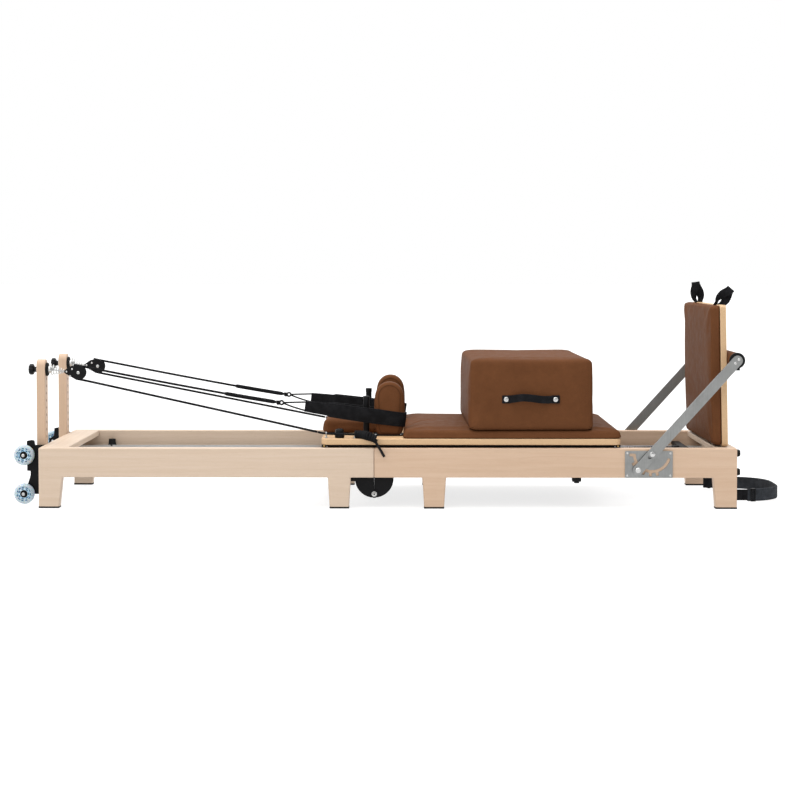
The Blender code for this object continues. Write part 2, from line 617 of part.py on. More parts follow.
def carriage():
    outline = rounded(CARRIAGE_LOW, CARRIAGE_HIGH, -CARRIAGE_HALF, CARRIAGE_HALF, 0.022, 4)
    board = place(prism(outline, "Z", BOARD_BOTTOM, BOARD_TOP), "carriage_board", "birch_ply")
    soften(board, 0.002, 1)
    holes = bmesh.new()
    for side in SIDES.values():
        rod(PEG_RADIUS + 0.001, BOARD_BOTTOM - 0.01, BOARD_TOP + 0.01, "Z", (PEG_X, side * REST_Y), 12,
            holes)
    combine(board, holes)
    carriage_frame()
    pad = rounded(0.002, 0.740, -0.318, 0.318, 0.020, 4)
    soften(place(prism(pad, "Z", BOARD_TOP + GAP, PAD_TOP), "carriage_pad", "brown_leather"), 0.007, 1)
    head = rounded(-0.284, -0.020, -0.120, 0.120, 0.025, 4)
    headrest = place(prism(head, "Z", BOARD_TOP + GAP, 0.285), "headrest", "brown_leather",
                     (-0.020, 0, BOARD_TOP + GAP))
    soften(headrest, 0.009, 1)
    for label, side in SIDES.items():
        shoulder_rest(f"shoulder_rest_{label}", side)
        hand_loop(f"hand_loop_{label}", side)
        clamp_knob(f"clamp_knob_{label}", side)
        for end, x in CARRIAGE_WHEEL_X.items():
            carriage_wheel(f"carriage_wheel_{end}_{label}", x, side)


def rope(name, side):
    """One rope: hand loop, pulley, clamp on the carriage's edge, knot, and the end that hangs."""
    y = side * RISER_Y
    down = 0.183                               # radians that the upper run drops at the sheave
    turn = arc((SHEAVE_X, SHEAVE_Z), ROPE_ON_SHEAVE, pi / 2 - down, 3 * pi / 2 - 0.204, 12)
    route = [(LOOP_KNOT[0], y, LOOP_KNOT[1]), (-0.60, y, 0.3765), (-0.85, y, 0.4225)]
    route += [(x, y, z) for x, z in turn]
    route += [(-1.075, y, 0.4184), (-0.84, side * 0.2173, 0.3698), (-0.52, side * 0.2573, 0.3036)]
    route += [(-0.290, side * 0.2860, 0.2555), (-0.262, side * 0.2930, 0.2510),
              (-0.217, side * 0.3010, 0.2505), (-0.165, side * 0.2990, 0.2490),
              (-0.125, side * 0.3110, 0.2450), (-0.100, side * 0.3300, 0.2380),
              (-0.083, side * 0.3400, 0.2100), (-0.061, side * 0.3410, 0.1730)]
    cord(name, smooth_route(route, 0.120), ROPE_RADIUS, "rope")


def springs():
    profile = [(0, SPRING_LOW), (0.004, SPRING_LOW), (0.004, SPRING_LOW + 0.018),
               (SPRING_RADIUS, SPRING_LOW + 0.026), (SPRING_RADIUS, SPRING_HIGH - 0.030),
               (0.004, SPRING_HIGH - 0.020), (0.004, SPRING_HIGH), (0, SPRING_HIGH)]
    for number, y in enumerate(SPRING_ROWS, 1):
        place(turned(profile, "X", (y, SPRING_Z), 12), f"spring_{number}", "spring_steel")


def sitting_box():
    low = PAD_TOP + 0.0005
    shape = block((BOX_LOW, BOX_HIGH), (-BOX_HALF, BOX_HALF), (low, BOX_TOP))
    centre = Vector(((BOX_LOW + BOX_HIGH) / 2, 0, 0))
    bmesh.ops.rotate(shape, verts=shape.verts, cent=centre, matrix=Matrix.Rotation(BOX_TURN, 3, "Z"))
    made = place(shape, "sitting_box", "brown_leather")
    soften(made, 0.016, 2)


def main():
    for thing in list(bpy.data.objects):
        bpy.data.objects.remove(thing, do_unlink=True)
    frame()
    head_end()
    footbar()
    jump_board()
    foot_strap()
    carriage()
    for label, side in SIDES.items():
        rope(f"rope_{label}", side)
    springs()
    sitting_box()


main()
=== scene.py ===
from math import cos, pi, radians, sin, tan

import bmesh
import bpy
import numpy as np
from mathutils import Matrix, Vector
from mathutils.bvhtree import BVHTree


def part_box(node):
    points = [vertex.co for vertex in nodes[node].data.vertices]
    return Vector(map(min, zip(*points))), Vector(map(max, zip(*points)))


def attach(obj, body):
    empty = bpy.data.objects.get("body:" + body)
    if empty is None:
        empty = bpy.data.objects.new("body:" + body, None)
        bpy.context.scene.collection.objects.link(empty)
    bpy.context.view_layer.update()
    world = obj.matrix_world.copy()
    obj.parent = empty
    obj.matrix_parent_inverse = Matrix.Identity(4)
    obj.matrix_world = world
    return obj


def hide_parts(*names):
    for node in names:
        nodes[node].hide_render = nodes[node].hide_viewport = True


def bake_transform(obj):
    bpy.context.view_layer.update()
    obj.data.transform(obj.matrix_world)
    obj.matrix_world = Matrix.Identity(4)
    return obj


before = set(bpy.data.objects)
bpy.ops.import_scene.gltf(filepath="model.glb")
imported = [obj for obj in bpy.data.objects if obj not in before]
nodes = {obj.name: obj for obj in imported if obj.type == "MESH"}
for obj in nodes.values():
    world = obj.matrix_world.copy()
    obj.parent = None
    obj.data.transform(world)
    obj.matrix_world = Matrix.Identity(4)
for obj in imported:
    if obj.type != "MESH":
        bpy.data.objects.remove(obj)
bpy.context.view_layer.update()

# ---- places that several pieces share, in metres ----
SIDES = (("near", -1), ("far", 1))
UP = (0, 0, 1)
FOOTWARD = (1, 0, 0)
DECK = 0.2362                                        # top of the carriage's board
ROPE_Y = 0.188                                       # the ropes, their pulleys and the risers' knobs
LOOP_Y = 0.190                                       # the hand loops, their pegs and the shoulder rests
WHEEL_X, WHEEL_Y = -1.302, 0.250                     # the transport wheels
WHEEL_LEVELS = {"upper": 0.172, "lower": 0.039}
LEAN = radians(1.3)                                  # of the jump board, backward

# ---- camera: a little above the machine, looking slightly down ----
LENS, SHIFT_DOWN = 79.3068535, 0.075775796           # millimetres, and a share of the picture's width
YAW, PITCH, ROLL = 0.00836, 0.04, 0.00019

camera = bpy.data.objects.new("camera", bpy.data.cameras.new("camera"))
camera.data.sensor_width = 36
camera.data.lens = LENS
camera.data.shift_y = -SHIFT_DOWN
camera.data.clip_end = 200
camera.location = (0.01228, -6.15695, 0.82824)
camera.rotation_euler = (pi / 2 - PITCH, -ROLL, YAW)
bpy.context.collection.objects.link(camera)
bpy.context.scene.camera = camera


# ---- nodes ----

class Graph:
    """The nodes of one material. Each call adds a node and returns its output, so that calls nest."""

    def __init__(self, name, roughness=0.5, metallic=0.0, **fixed):
        self.material = bpy.data.materials.new(name)
        self.material.use_nodes = True
        self.tree = self.material.node_tree
        self.shader = self.tree.nodes["Principled BSDF"]
        self.shader.inputs["Roughness"].default_value = roughness
        self.shader.inputs["Metallic"].default_value = metallic
        for label, value in fixed.items():
            self.shader.inputs[label.replace("_", " ")].default_value = value

    def join(self, socket, value):
        if isinstance(value, bpy.types.NodeSocket):
            self.tree.links.new(value, socket)
        elif isinstance(value, (tuple, list)) and len(value) == 3 and socket.type == "RGBA":
            socket.default_value = (*value, 1)
        else:
            socket.default_value = value

    def add(self, kind, out, inputs, **settings):
        node = self.tree.nodes.new("ShaderNode" + kind)
        for key, value in settings.items():
            setattr(node, key, value)
        for label, value in inputs.items():
            self.join(node.inputs[label], value)
        return node.outputs[out]

    def coords(self, kind="Object"):
        return self.add("TexCoord", kind, {})

    def scaled(self, scale, vector=None, turn=(0, 0, 0)):
        return self.add("Mapping", 0, {"Vector": vector or self.coords(), "Scale": scale, "Rotation": turn})

    def noise(self, vector, scale=1.0, detail=3.0, rough=0.5, bend=0.0):
        return self.add("TexNoise", 0, {"Vector": vector, "Scale": scale, "Detail": detail,
                                        "Roughness": rough, "Distortion": bend})

    def cells(self, vector, scale, smooth=None):
        inputs, feature = {"Vector": vector, "Scale": scale}, "F1"
        if smooth is not None:
            inputs["Smoothness"], feature = smooth, "SMOOTH_F1"
        return self.add("TexVoronoi", "Distance", inputs, feature=feature)

    def math(self, operation, a, b=0.0):
        return self.add("Math", 0, {0: a, 1: b}, operation=operation)

    def plus(self, a, b):
        return self.math("ADD", a, b)

    def times(self, a, b):
        return self.math("MULTIPLY", a, b)

    def part(self, vector, axis):
        return self.add("SeparateXYZ", axis, {0: vector})

    def ranged(self, value, low, high, to_low=0.0, to_high=1.0):
        return self.add("MapRange", 0, {"Value": value, "From Min": low, "From Max": high, "To Min": to_low,
                                        "To Max": to_high})

    def blend(self, factor, a, b):
        """Two colours mixed. A mix node has sockets for every kind of data; 6 and 7 are its colours."""
        return self.add("Mix", 2, {0: factor, 6: a, 7: b}, data_type="RGBA")

    def bump(self, height, depth, strength=1.0, under=None):
        inputs = {"Height": height, "Distance": depth, "Strength": strength}
        if under:
            inputs["Normal"] = under
        return self.add("Bump", 0, inputs)

    def done(self, colour=None, roughness=None, normal=None):
        for label, value in (("Base Color", colour), ("Roughness", roughness), ("Normal", normal)):
            if value is not None:
                self.join(self.shader.inputs[label], value)
        return self.material


def stretched(axis, along, across):
    return tuple(along if i == axis else across for i in range(3))


def toned(tint, by, more=0.0):
    """A colour made darker or lighter."""
    return tuple(c * by + more for c in tint)


def wood(name, axis, light, dark, layered=None):
    """Pale maple, grained along an axis. layered is the axis of a board's glued layers, seen on edge."""
    g = Graph(name, Specular_IOR_Level=0.3)
    broad = g.noise(g.scaled(stretched(axis, 0.9, 7)), 1.0, 3, 0.55, 0.6)
    streaks = g.noise(g.scaled(stretched(axis, 3.0, 95)), 1.0, 5, 0.62, 0.35)
    fibres = g.noise(g.scaled(stretched(axis, 26, 900)), 1.0, 3, 0.6)
    rings = g.add("TexWave", "Fac", {"Vector": g.scaled(stretched(axis, 0.35, 1.0)), "Scale": 9.0,
                                     "Distortion": 5.5, "Detail": 2.5, "Detail Scale": 0.7,
                                     "Detail Roughness": 0.5}, wave_type="BANDS",
                  bands_direction="Z" if axis != 2 else "Y", wave_profile="SAW")
    pores = g.ranged(g.noise(g.scaled(stretched(axis, 70, 1300)), 1.0, 1), 0.66, 0.76)
    tone = g.plus(g.times(broad, 0.55), g.times(streaks, 0.75))
    tone = g.plus(tone, g.times(rings, 0.13))
    colour = g.blend(g.ranged(tone, 0.38, 1.0), light, dark)
    colour = g.blend(g.ranged(fibres, 0.35, 0.75, 0.0, 0.2), colour, toned(dark, 0.72))
    colour = g.blend(g.times(pores, 0.32), colour, toned(dark, 0.45))
    height = g.plus(fibres, g.times(streaks, 0.5))
    if layered is not None:
        across = g.part(g.coords(), layered)
        if layered == 0:                               # the jump board leans back, and so do its layers
            across = g.plus(across, g.times(g.part(g.coords(), 2), tan(LEAN)))
        edge = g.ranged(g.math("ABSOLUTE", g.part(g.coords("Normal"), layered)), 0.6, 0.75, 1.0, 0.0)
        layers = g.math("SINE", g.times(across, 2 * pi / 0.0031))
        speckle = g.noise(g.scaled((160, 160, 420)), 1.0, 3)
        glued = g.blend(g.ranged(g.plus(layers, speckle), -0.2, 1.1), toned(dark, 0.62),
                        toned(light, 0.96))
        colour = g.blend(edge, colour, glued)
        height = g.plus(height, g.times(g.times(layers, edge), 0.4))
    return g.done(colour, g.ranged(streaks, 0.3, 0.7, 0.40, 0.54), g.bump(height, 0.00025, 0.35))


def leather(name, base, worn):
    g = Graph(name, Specular_IOR_Level=0.03)
    grain = g.cells(g.scaled((1, 1, 1)), 620, smooth=0.35)
    fine = g.noise(g.coords(), 1500, 2)
    mottle = g.noise(g.coords(), 7.0, 4, 0.6, 0.4)
    patches = g.noise(g.coords(), 38.0, 3, 0.55)
    tone = g.plus(g.times(mottle, 0.6), g.times(patches, 0.4))
    colour = g.blend(g.ranged(tone, 0.32, 0.70), base, worn)
    colour = g.blend(g.ranged(grain, 0.25, 0.7, 0.0, 0.35), colour, toned(base, 0.55))
    folds = g.noise(g.coords(), 16.0, 3, 0.5, 1.2)
    height = g.math("SUBTRACT", g.times(fine, 0.25), grain)
    under = g.bump(folds, 0.004, 0.12)
    return g.done(colour, g.ranged(patches, 0.3, 0.7, 0.52, 0.66), g.bump(height, 0.0004, 0.3, under))


def metal(name, tint, rough=0.35, axis=None, scratch=0.5, **fixed):
    """Bare metal. With an axis it is brushed along it."""
    g = Graph(name, rough, 1.0, **fixed)
    lines = g.noise(g.scaled(stretched(axis, 14, 1500) if axis is not None else (300, 300, 300)), 1.0, 3,
                    0.6)
    cloud = g.noise(g.coords(), 22, 4, 0.6)
    colour = g.blend(g.ranged(g.plus(g.times(lines, 0.6), g.times(cloud, 0.6)), 0.35, 0.9),
                     tint, toned(tint, 0.66))
    return g.done(colour, g.ranged(g.plus(lines, g.times(cloud, 0.5)), 0.5, 1.0, rough - 0.1, rough + 0.12),
                  g.bump(lines, 0.00012, scratch))


def painted(name, tint, rough=0.42, size=900, depth=0.0002, strength=0.35, metallic=0.0, **fixed):
    """Powder coat, moulded plastic or rubber: a fine pebbled skin, a little dusty and worn."""
    g = Graph(name, rough, metallic, Specular_IOR_Level=0.12, **fixed)
    skin = g.cells(g.coords(), size, smooth=0.5)
    dust = g.noise(g.coords(), 30, 5, 0.65)
    speck = g.ranged(g.noise(g.coords(), 480, 2), 0.66, 0.76)
    colour = g.blend(g.ranged(dust, 0.35, 0.75), tint, toned(tint, 1.6, 0.001))
    colour = g.blend(g.times(speck, 0.25), colour, toned(tint, 2.2, 0.008))
    return g.done(colour, g.ranged(dust, 0.3, 0.75, rough - 0.07, rough + 0.1),
                  g.bump(skin, depth, strength))


def woven(name, tint, across, along, depth=0.0005, slant=0.0):
    """Yarns over and under, across and along being their widths on a UV map in metres. slant braids them."""
    g = Graph(name, 0.8, Specular_IOR_Level=0.1)
    uv = g.coords("UV")
    u, v = g.part(uv, 0), g.part(uv, 1)
    first = g.plus(g.times(u, pi / across), g.times(v, slant * pi / along))
    second = g.math("SUBTRACT", g.times(v, pi / along), g.times(u, slant * pi / across))
    weave = g.times(g.math("SINE", first), g.math("SINE", second))
    lift = g.math("ABSOLUTE", weave)
    fuzz = g.noise(g.coords(), 1700, 3)
    shade = g.noise(g.coords(), 45, 4)
    colour = g.blend(g.ranged(g.plus(lift, g.times(fuzz, 0.5)), 0.15, 1.0), toned(tint, 0.4), tint)
    colour = g.blend(g.ranged(shade, 0.4, 0.75, 0.0, 0.5), colour, toned(tint, 1.9, 0.004))
    height = g.plus(lift, g.times(fuzz, 0.35))
    return g.done(colour, g.ranged(fuzz, 0.3, 0.7, 0.7, 0.9), g.bump(height, depth, 0.8))


def urethane():
    g = Graph("urethane_pale", 0.22, Transmission_Weight=0.35, IOR=1.42, Subsurface_Weight=0.25,
              Subsurface_Scale=0.01, Coat_Weight=0.2)
    scuff = g.noise(g.coords(), 60, 5, 0.65)
    cloud = g.noise(g.coords(), 14, 2)
    colour = g.blend(g.ranged(cloud, 0.35, 0.65), (0.55, 0.64, 0.69), (0.44, 0.58, 0.66))
    colour = g.blend(g.ranged(scuff, 0.55, 0.8, 0.0, 0.35), colour, (0.36, 0.41, 0.45))
    return g.done(colour, g.ranged(scuff, 0.35, 0.75, 0.18, 0.5), g.bump(scuff, 0.0006, 0.25))


def inner_ring():
    """The wheels' blue core, with a generic broken pattern."""
    g = Graph("wheel_core_blue", 0.35, Coat_Weight=0.3)
    pattern = g.cells(g.coords(), 210)
    blot = g.ranged(g.noise(g.coords(), 120, 2), 0.45, 0.55)
    colour = g.blend(g.ranged(pattern, 0.35, 0.5), (0.10, 0.30, 0.52), (0.50, 0.72, 0.85))
    colour = g.blend(g.times(blot, 0.5), colour, (0.75, 0.86, 0.92))
    return g.done(colour, g.ranged(pattern, 0, 1, 0.3, 0.45), g.bump(pattern, 0.0003, 0.3))


PALE_LIGHT, PALE_DARK = (0.56, 0.447, 0.350), (0.49, 0.375, 0.280)
MAPLE_LIGHT, MAPLE_DARK = (0.55, 0.400, 0.290), (0.47, 0.325, 0.222)
PLY_LIGHT, PLY_DARK = (0.70, 0.49, 0.29), (0.50, 0.30, 0.15)
BROWN, BROWN_WORN = (0.100, 0.0385, 0.0155), (0.128, 0.050, 0.0205)

maple_y, maple_z = (wood(f"maple_{a}", i, MAPLE_LIGHT, MAPLE_DARK) for i, a in ((1, "y"), (2, "z")))
maple_x = wood("maple_x", 0, MAPLE_LIGHT, MAPLE_DARK)
pale_x = wood("maple_pale_x", 0, PALE_LIGHT, PALE_DARK)
pale_y = wood("maple_pale_y", 1, PALE_LIGHT, PALE_DARK)
ply_flat = wood("ply_carriage", 0, PLY_LIGHT, PLY_DARK, layered=2)
ply_up = wood("ply_jump_board", 2, PLY_LIGHT, PLY_DARK, layered=0)
hide = leather("leather_brown", BROWN, BROWN_WORN)
hide_seam = leather("leather_seam", toned(BROWN, 0.55), BROWN)
steel = metal("steel_brushed", (0.33, 0.335, 0.33), 0.42, 2)
silver = metal("steel_bright", (0.62, 0.62, 0.61), 0.26, scratch=0.2)
alloy = metal("aluminium_track", (0.50, 0.50, 0.50), 0.40, 0)
brass = metal("brass_screw", (0.66, 0.47, 0.20), 0.3, scratch=0.2)
coil_steel = metal("spring_wire", (0.42, 0.42, 0.44), 0.28, scratch=0.3)
coat = painted("powder_black", (0.0035, 0.0035, 0.004), 0.5)
plastic = painted("plastic_black", (0.0045, 0.0045, 0.005), 0.36, 1400)
rubber = painted("rubber_black", (0.006, 0.006, 0.006), 0.7, 700, 0.0003, 0.5)
band = woven("webbing_black", (0.008, 0.008, 0.0095), 0.0012, 0.0016)
felt = woven("strap_cloth_grey", (0.032, 0.036, 0.042), 0.0008, 0.0008, 0.0004)
quilt = woven("loop_cloth", (0.0065, 0.0065, 0.0075), 0.0007, 0.0007, 0.0003)
braid = woven("rope_braid", (0.008, 0.008, 0.009), 0.0013, 0.0022, 0.0006, slant=0.8)
thread = woven("thread_black", (0.018, 0.018, 0.021), 0.0003, 0.0005, 0.0001, slant=0.5)
tyre, core = urethane(), inner_ring()
dash_blue = painted("wheel_dash_blue", (0.012, 0.075, 0.15), 0.4)
MADE_OF = {"maple": (maple_x, maple_y, maple_z, pale_x, pale_y), "birch_ply": (ply_flat, ply_up),
           "brown_leather": (hide, hide_seam), "brushed_steel": (steel, silver, brass),
           "spring_steel": (coil_steel,), "aluminium": (alloy,), "black_steel": (coat,),
           "black_plastic": (plastic, rubber), "webbing": (band, felt, quilt, thread), "rope": (braid,),
           "clear_urethane": (tyre, core)}
SLOTS = {material: slot for slot, materials in MADE_OF.items() for material in materials}


# ---- meshes ----

def unit(v):
    return v / np.linalg.norm(v, axis=-1, keepdims=True)


def circle(count):
    a = np.arange(count) * 2 * pi / count
    return np.stack([np.cos(a), np.sin(a)], 1)


def slab(width, thick, radius=None, steps=3):
    """A rounded rectangle, as points (across, through)."""
    most = min(thick, width) / 2 * 0.98
    radius = most if radius is None else min(radius, most)
    out = []
    for k, (sx, sy) in enumerate(((1, 1), (-1, 1), (-1, -1), (1, -1))):
        for i in range(steps + 1):
            a = pi / 2 * (k + i / steps)
            out.append((sx * (width / 2 - radius) + radius * cos(a),
                        sy * (thick / 2 - radius) + radius * sin(a)))
    return np.array(out)


def curve(points, spacing, closed=False):
    """A smooth line through the points, resampled evenly."""
    p = np.array(points, float)
    p = np.vstack([p[-1], p, p[:2]]) if closed else np.vstack([2 * p[0] - p[1], p, 2 * p[-1] - p[-2]])
    fine = []
    for a, b, c, d in zip(p, p[1:], p[2:], p[3:]):
        t = np.linspace(0, 1, 24, endpoint=False)[:, None]
        square, cube = 2 * a - 5 * b + 4 * c - d, 3 * b - a - 3 * c + d
        fine.append(0.5 * (2 * b + (c - a) * t + square * t ** 2 + cube * t ** 3))
    fine = np.vstack(fine + [p[-2][None]])
    along = np.concatenate([[0], np.cumsum(np.linalg.norm(np.diff(fine, axis=0), axis=1))])
    count = max(2, int(round(along[-1] / spacing)) + 1)
    at = np.linspace(0, along[-1], count)
    line = np.stack([np.interp(at, along, fine[:, k]) for k in range(3)], 1)
    return line[:-1] if closed else line


def length_of(path):
    return float(np.linalg.norm(np.diff(np.asarray(path), axis=0), axis=1).sum())


def frames_of(path, closed=False, ref=None):
    """Two directions across the line at each point. The first leans to ref; without it they don't twist."""
    path = np.asarray(path, float)
    t = unit(np.roll(path, -1, 0) - np.roll(path, 1, 0) if closed else np.gradient(path, axis=0))
    if ref is not None:
        ref = np.broadcast_to(np.asarray(ref, float), path.shape)
        side = unit(ref - (ref * t).sum(1, keepdims=True) * t)
        return side, np.cross(t, side)
    start = np.array([0, 0, 1.0]) if abs(t[0][2]) < 0.9 else np.array([1.0, 0, 0])
    side = [unit(start - start.dot(t[0]) * t[0])]
    for along in t[1:]:
        side.append(unit(side[-1] - side[-1].dot(along) * along))
    side = np.array(side)
    return side, np.cross(t, side)


def mirrored(half):
    """A profile the same both ways, from its half beyond the middle."""
    return [(-s, r) for s, r in half[::-1] if s] + half


THINNEST = 0.00005                                       # a point on an axis is a ring this wide


class Part:
    """One piece, made of closed forms, each with its own material."""

    def __init__(self, name):
        self.name, self.verts, self.faces, self.uvs, self.finish, self.materials = name, [], [], [], [], []

    def loft(self, rings, material, caps=True, closed=False):
        rings = [np.asarray(r, float) for r in rings]
        n, base = len(rings[0]), len(self.verts)
        if material not in self.materials:
            self.materials.append(material)
        index = self.materials.index(material)
        centres = np.array([r.mean(0) for r in rings])
        v = np.concatenate([[0], np.cumsum(np.linalg.norm(np.diff(centres, axis=0), axis=1))])
        widest = max(rings, key=lambda r: np.ptp(r, axis=0).sum())
        edge = np.linalg.norm(np.roll(widest, -1, 0) - widest, axis=1)
        u = np.concatenate([[0], np.cumsum(edge)])
        self.verts += [tuple(p) for r in rings for p in r]
        m = len(rings)
        for k in range(m if closed else m - 1):
            k2 = (k + 1) % m
            v2 = v[k + 1] if k + 1 < m else v[-1] + np.linalg.norm(centres[0] - centres[-1])
            for i in range(n):
                j = (i + 1) % n
                self.faces.append((base + k * n + i, base + k * n + j, base + k2 * n + j, base + k2 * n + i))
                self.uvs += [(u[i], v[k]), (u[i + 1], v[k]), (u[i + 1], v2), (u[i], v2)]
                self.finish.append(index)
        if caps and not closed:
            for k, order in ((0, range(n - 1, -1, -1)), (m - 1, range(n))):
                self.faces.append(tuple(base + k * n + i for i in order))
                self.uvs += [(u[i], v[k]) for i in order]
                self.finish.append(index)
        return self

    def sweep(self, path, sections, material, ref=None, closed=False, caps=True):
        """sections is one outline, or one for each point of the path."""
        path = np.asarray(path, float)
        side, over = frames_of(path, closed, ref)
        if not isinstance(sections, list):
            sections = [sections] * len(path)
        rings = [p + np.outer(s[:, 0], a) + np.outer(s[:, 1], b) for p, a, b,
                 s in zip(path, side, over, sections)]
        return self.loft(rings, material, caps, closed)

    def tube(self, path, radius, material, count=10, closed=False):
        path = np.asarray(path, float)
        radius = np.broadcast_to(radius, len(path))
        return self.sweep(path, [circle(count) * r for r in radius], material, closed=closed)

    def lathe(self, centre, axis, profile, material, count, lobes=None):
        """profile is (distance along the axis, radius), end to end. lobes is (how many, how deep)."""
        axis = unit(np.asarray(axis, float))
        side = unit(np.cross(axis, (0, 0, 1) if abs(axis[2]) < 0.9 else (1, 0, 0)))
        over = np.cross(axis, side)
        ring, grow = circle(count), np.ones(count)
        if lobes:
            grow = 1 - lobes[1] * (0.5 - 0.5 * np.cos(np.arange(count) * 2 * pi / count * lobes[0]))
        rings = []
        for s, r in profile:
            r = max(r, THINNEST)
            rings.append(np.asarray(centre) + axis * s + np.outer(ring[:, 0] * r * grow, side)
                         + np.outer(ring[:, 1] * r * grow, over))
        return self.loft(rings, material)

    def block(self, low, high, radius, material, steps=2):
        """A box with rounded edges."""
        low, high = np.asarray(low, float), np.asarray(high, float)
        size, mid = high - low, (low + high) / 2
        rings = []
        for k in list(range(steps + 1)) + [-i for i in range(steps, -1, -1)]:
            end = -1 if k >= 0 and len(rings) <= steps else 1
            a = pi / 2 * abs(k) / steps
            inset, z = radius * (1 - sin(a)), end * (size[2] / 2 - radius * (1 - cos(a)))
            s = slab(size[0] - 2 * inset, size[1] - 2 * inset, max(radius - inset, radius * 0.15), steps)
            rings.append(np.column_stack([mid[0] + s[:, 0], mid[1] + s[:, 1], np.full(len(s), mid[2] + z)]))
        return self.loft(rings, material)

    def screw(self, at, axis, r, h, material=None, drive=0.42):
        """A domed head with a socket in it. drive is the socket's share of the head's width."""
        profile = [(-0.0005, r), (h * 0.25, r), (h * 0.7, r * 0.9), (h * 0.95, r * 0.68),
                   (h, r * drive * 1.1), (h, r * drive), (h * 0.35, r * drive * 0.9), (h * 0.35, 0)]
        return self.lathe(at, axis, profile, material or silver, 24)

    def pair(self, x, y, z, radius, material):
        """A block between two values of x, of y and of z, and its mirror image on the other side."""
        for _, sign in SIDES:
            y0, y1 = sorted((sign * y[0], sign * y[1]))
            self.block((x[0], y0, z[0]), (x[1], y1, z[1]), radius, material)
        return self

    def hoop(self, centre, first, second, wide, thin, material, count=24):
        """A ring of round wire in the plane of two directions."""
        ring = circle(count) * wide
        path = np.asarray(centre) + np.outer(ring[:, 0], first) + np.outer(ring[:, 1], second)
        return self.tube(path, thin, material, 8, closed=True)

    def hexagon(self, at, axis, r, h):
        """A six sided head on a washer."""
        self.lathe(at, axis, [(-0.0005, r * 1.28), (h * 0.16, r * 1.28), (h * 0.2, r * 1.1), (h * 0.2, 0)],
                   silver, 24)
        return self.lathe(at, axis, [(0, r), (h * 0.85, r), (h, r * 0.84), (h, 0)], silver, 6)

    def stitches(self, path, normal, long=0.0032, gap=0.0016, radius=0.0004):
        """Short threads lying along a line."""
        path, normal = np.asarray(path, float), np.broadcast_to(np.asarray(normal, float), np.shape(path))
        along = np.concatenate([[0], np.cumsum(np.linalg.norm(np.diff(path, axis=0), axis=1))])
        start = gap
        while start + long < along[-1]:
            at = np.linspace(start, start + long, 4)
            line = np.stack([np.interp(at, along, path[:, k]) for k in range(3)], 1)
            up = np.stack([np.interp(at, along, normal[:, k]) for k in range(3)], 1)
            line += up * (np.array([-0.35, 0.55, 0.55, -0.35]) * radius)[:, None]
            self.tube(line, radius, thread, 5)
            start += long + gap
        return self

    def done(self, body=None, sharp=38, replaces=(), pieces_slot=None):
        mesh = bpy.data.meshes.new(self.name)
        mesh.from_pydata(self.verts, [], self.faces)
        for m in self.materials:
            mesh.materials.append(m)
        mesh.polygons.foreach_set("material_index", self.finish)
        uv = mesh.uv_layers.new(name="metres")
        uv.data.foreach_set("uv", np.array(self.uvs, np.float32).ravel())
        mesh.shade_smooth()
        bm = bmesh.new()
        bm.from_mesh(mesh)
        bmesh.ops.recalc_face_normals(bm, faces=bm.faces)
        bm.to_mesh(mesh)
        bm.free()
        mesh.set_sharp_from_angle(angle=radians(sharp))
        made = bpy.data.objects.new(self.name, mesh)
        bpy.context.collection.objects.link(made)
        pieces_slot or SLOTS[self.materials[0]]
        if body:
            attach(made, body)
        if replaces:
            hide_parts(*replaces)
        return made


def tree_of(made):
    bpy.context.view_layer.update()
    return BVHTree.FromObject(made, bpy.context.evaluated_depsgraph_get())


def laid_on(tree, points, lift=0.0):
    """The points moved to the surface, and the surface's normals there."""
    out, normals = [], []
    for p in points:
        at, normal, _, _ = tree.find_nearest(Vector(p))
        out.append(np.array(at) + np.array(normal) * lift)
        normals.append(np.array(normal))
    return np.array(out), np.array(normals)


# ---- CAD pieces that keep their shape: rounded edges and a real finish ----

def refinish(name, material, edge):
    made = nodes[name]
    mesh = made.data
    kept = mesh.attributes.get("custom_normal")
    if kept:
        mesh.attributes.remove(kept)
    uses = np.zeros(len(mesh.edges), int)
    for loop in mesh.loops:
        uses[loop.edge_index] += 1
    mesh.shade_smooth()
    for e in mesh.edges:
        e.use_edge_sharp = bool(uses[e.index] == 1)
    mesh.materials.clear()
    mesh.materials.append(material)
    weld = made.modifiers.new("weld", "WELD")
    weld.merge_threshold = 0.00002
    bevel = made.modifiers.new("edges", "BEVEL")
    bevel.width, bevel.segments, bevel.limit_method, bevel.angle_limit = edge, 2, "ANGLE", radians(40)
    made.modifiers.new("shading", "WEIGHTED_NORMAL").keep_sharp = False
    return made


for half in ("head", "foot"):
    for side, sign in SIDES:
        refinish(f"{half}_rail_{side}", pale_x if half == "head" else maple_x, 0.0016)
        refinish(f"{half}_hinge_plate_{side}", coat, 0.0005)
        refinish(f"{half}_track_{side}", alloy, 0.0004)
    refinish(f"{half}_end_board", pale_y, 0.0014)
refinish("head_cross_bar", maple_y, 0.0014)
refinish("carriage_board", ply_flat, 0.0012)
refinish("carriage_frame", coat, 0.0006)
refinish("spring_bar", coat, 0.0010)
for side, sign in SIDES:
    refinish(f"riser_{side}", maple_z, 0.0013)
    refinish(f"wheel_bracket_{side}", coat, 0.0006)
    refinish(f"pulley_block_{side}", coat, 0.0006)
    refinish(f"footbar_plate_{side}", steel, 0.0004)
    refinish(f"footbar_arm_{side}", steel, 0.0005)
    refinish(f"pulley_sheave_{side}", plastic, 0.0004)
    for end in ("head", "foot"):
        refinish(f"carriage_wheel_{end}_{side}", rubber, 0.0006)


# ---- cushions ----

CLOTH_FRAMES = 20


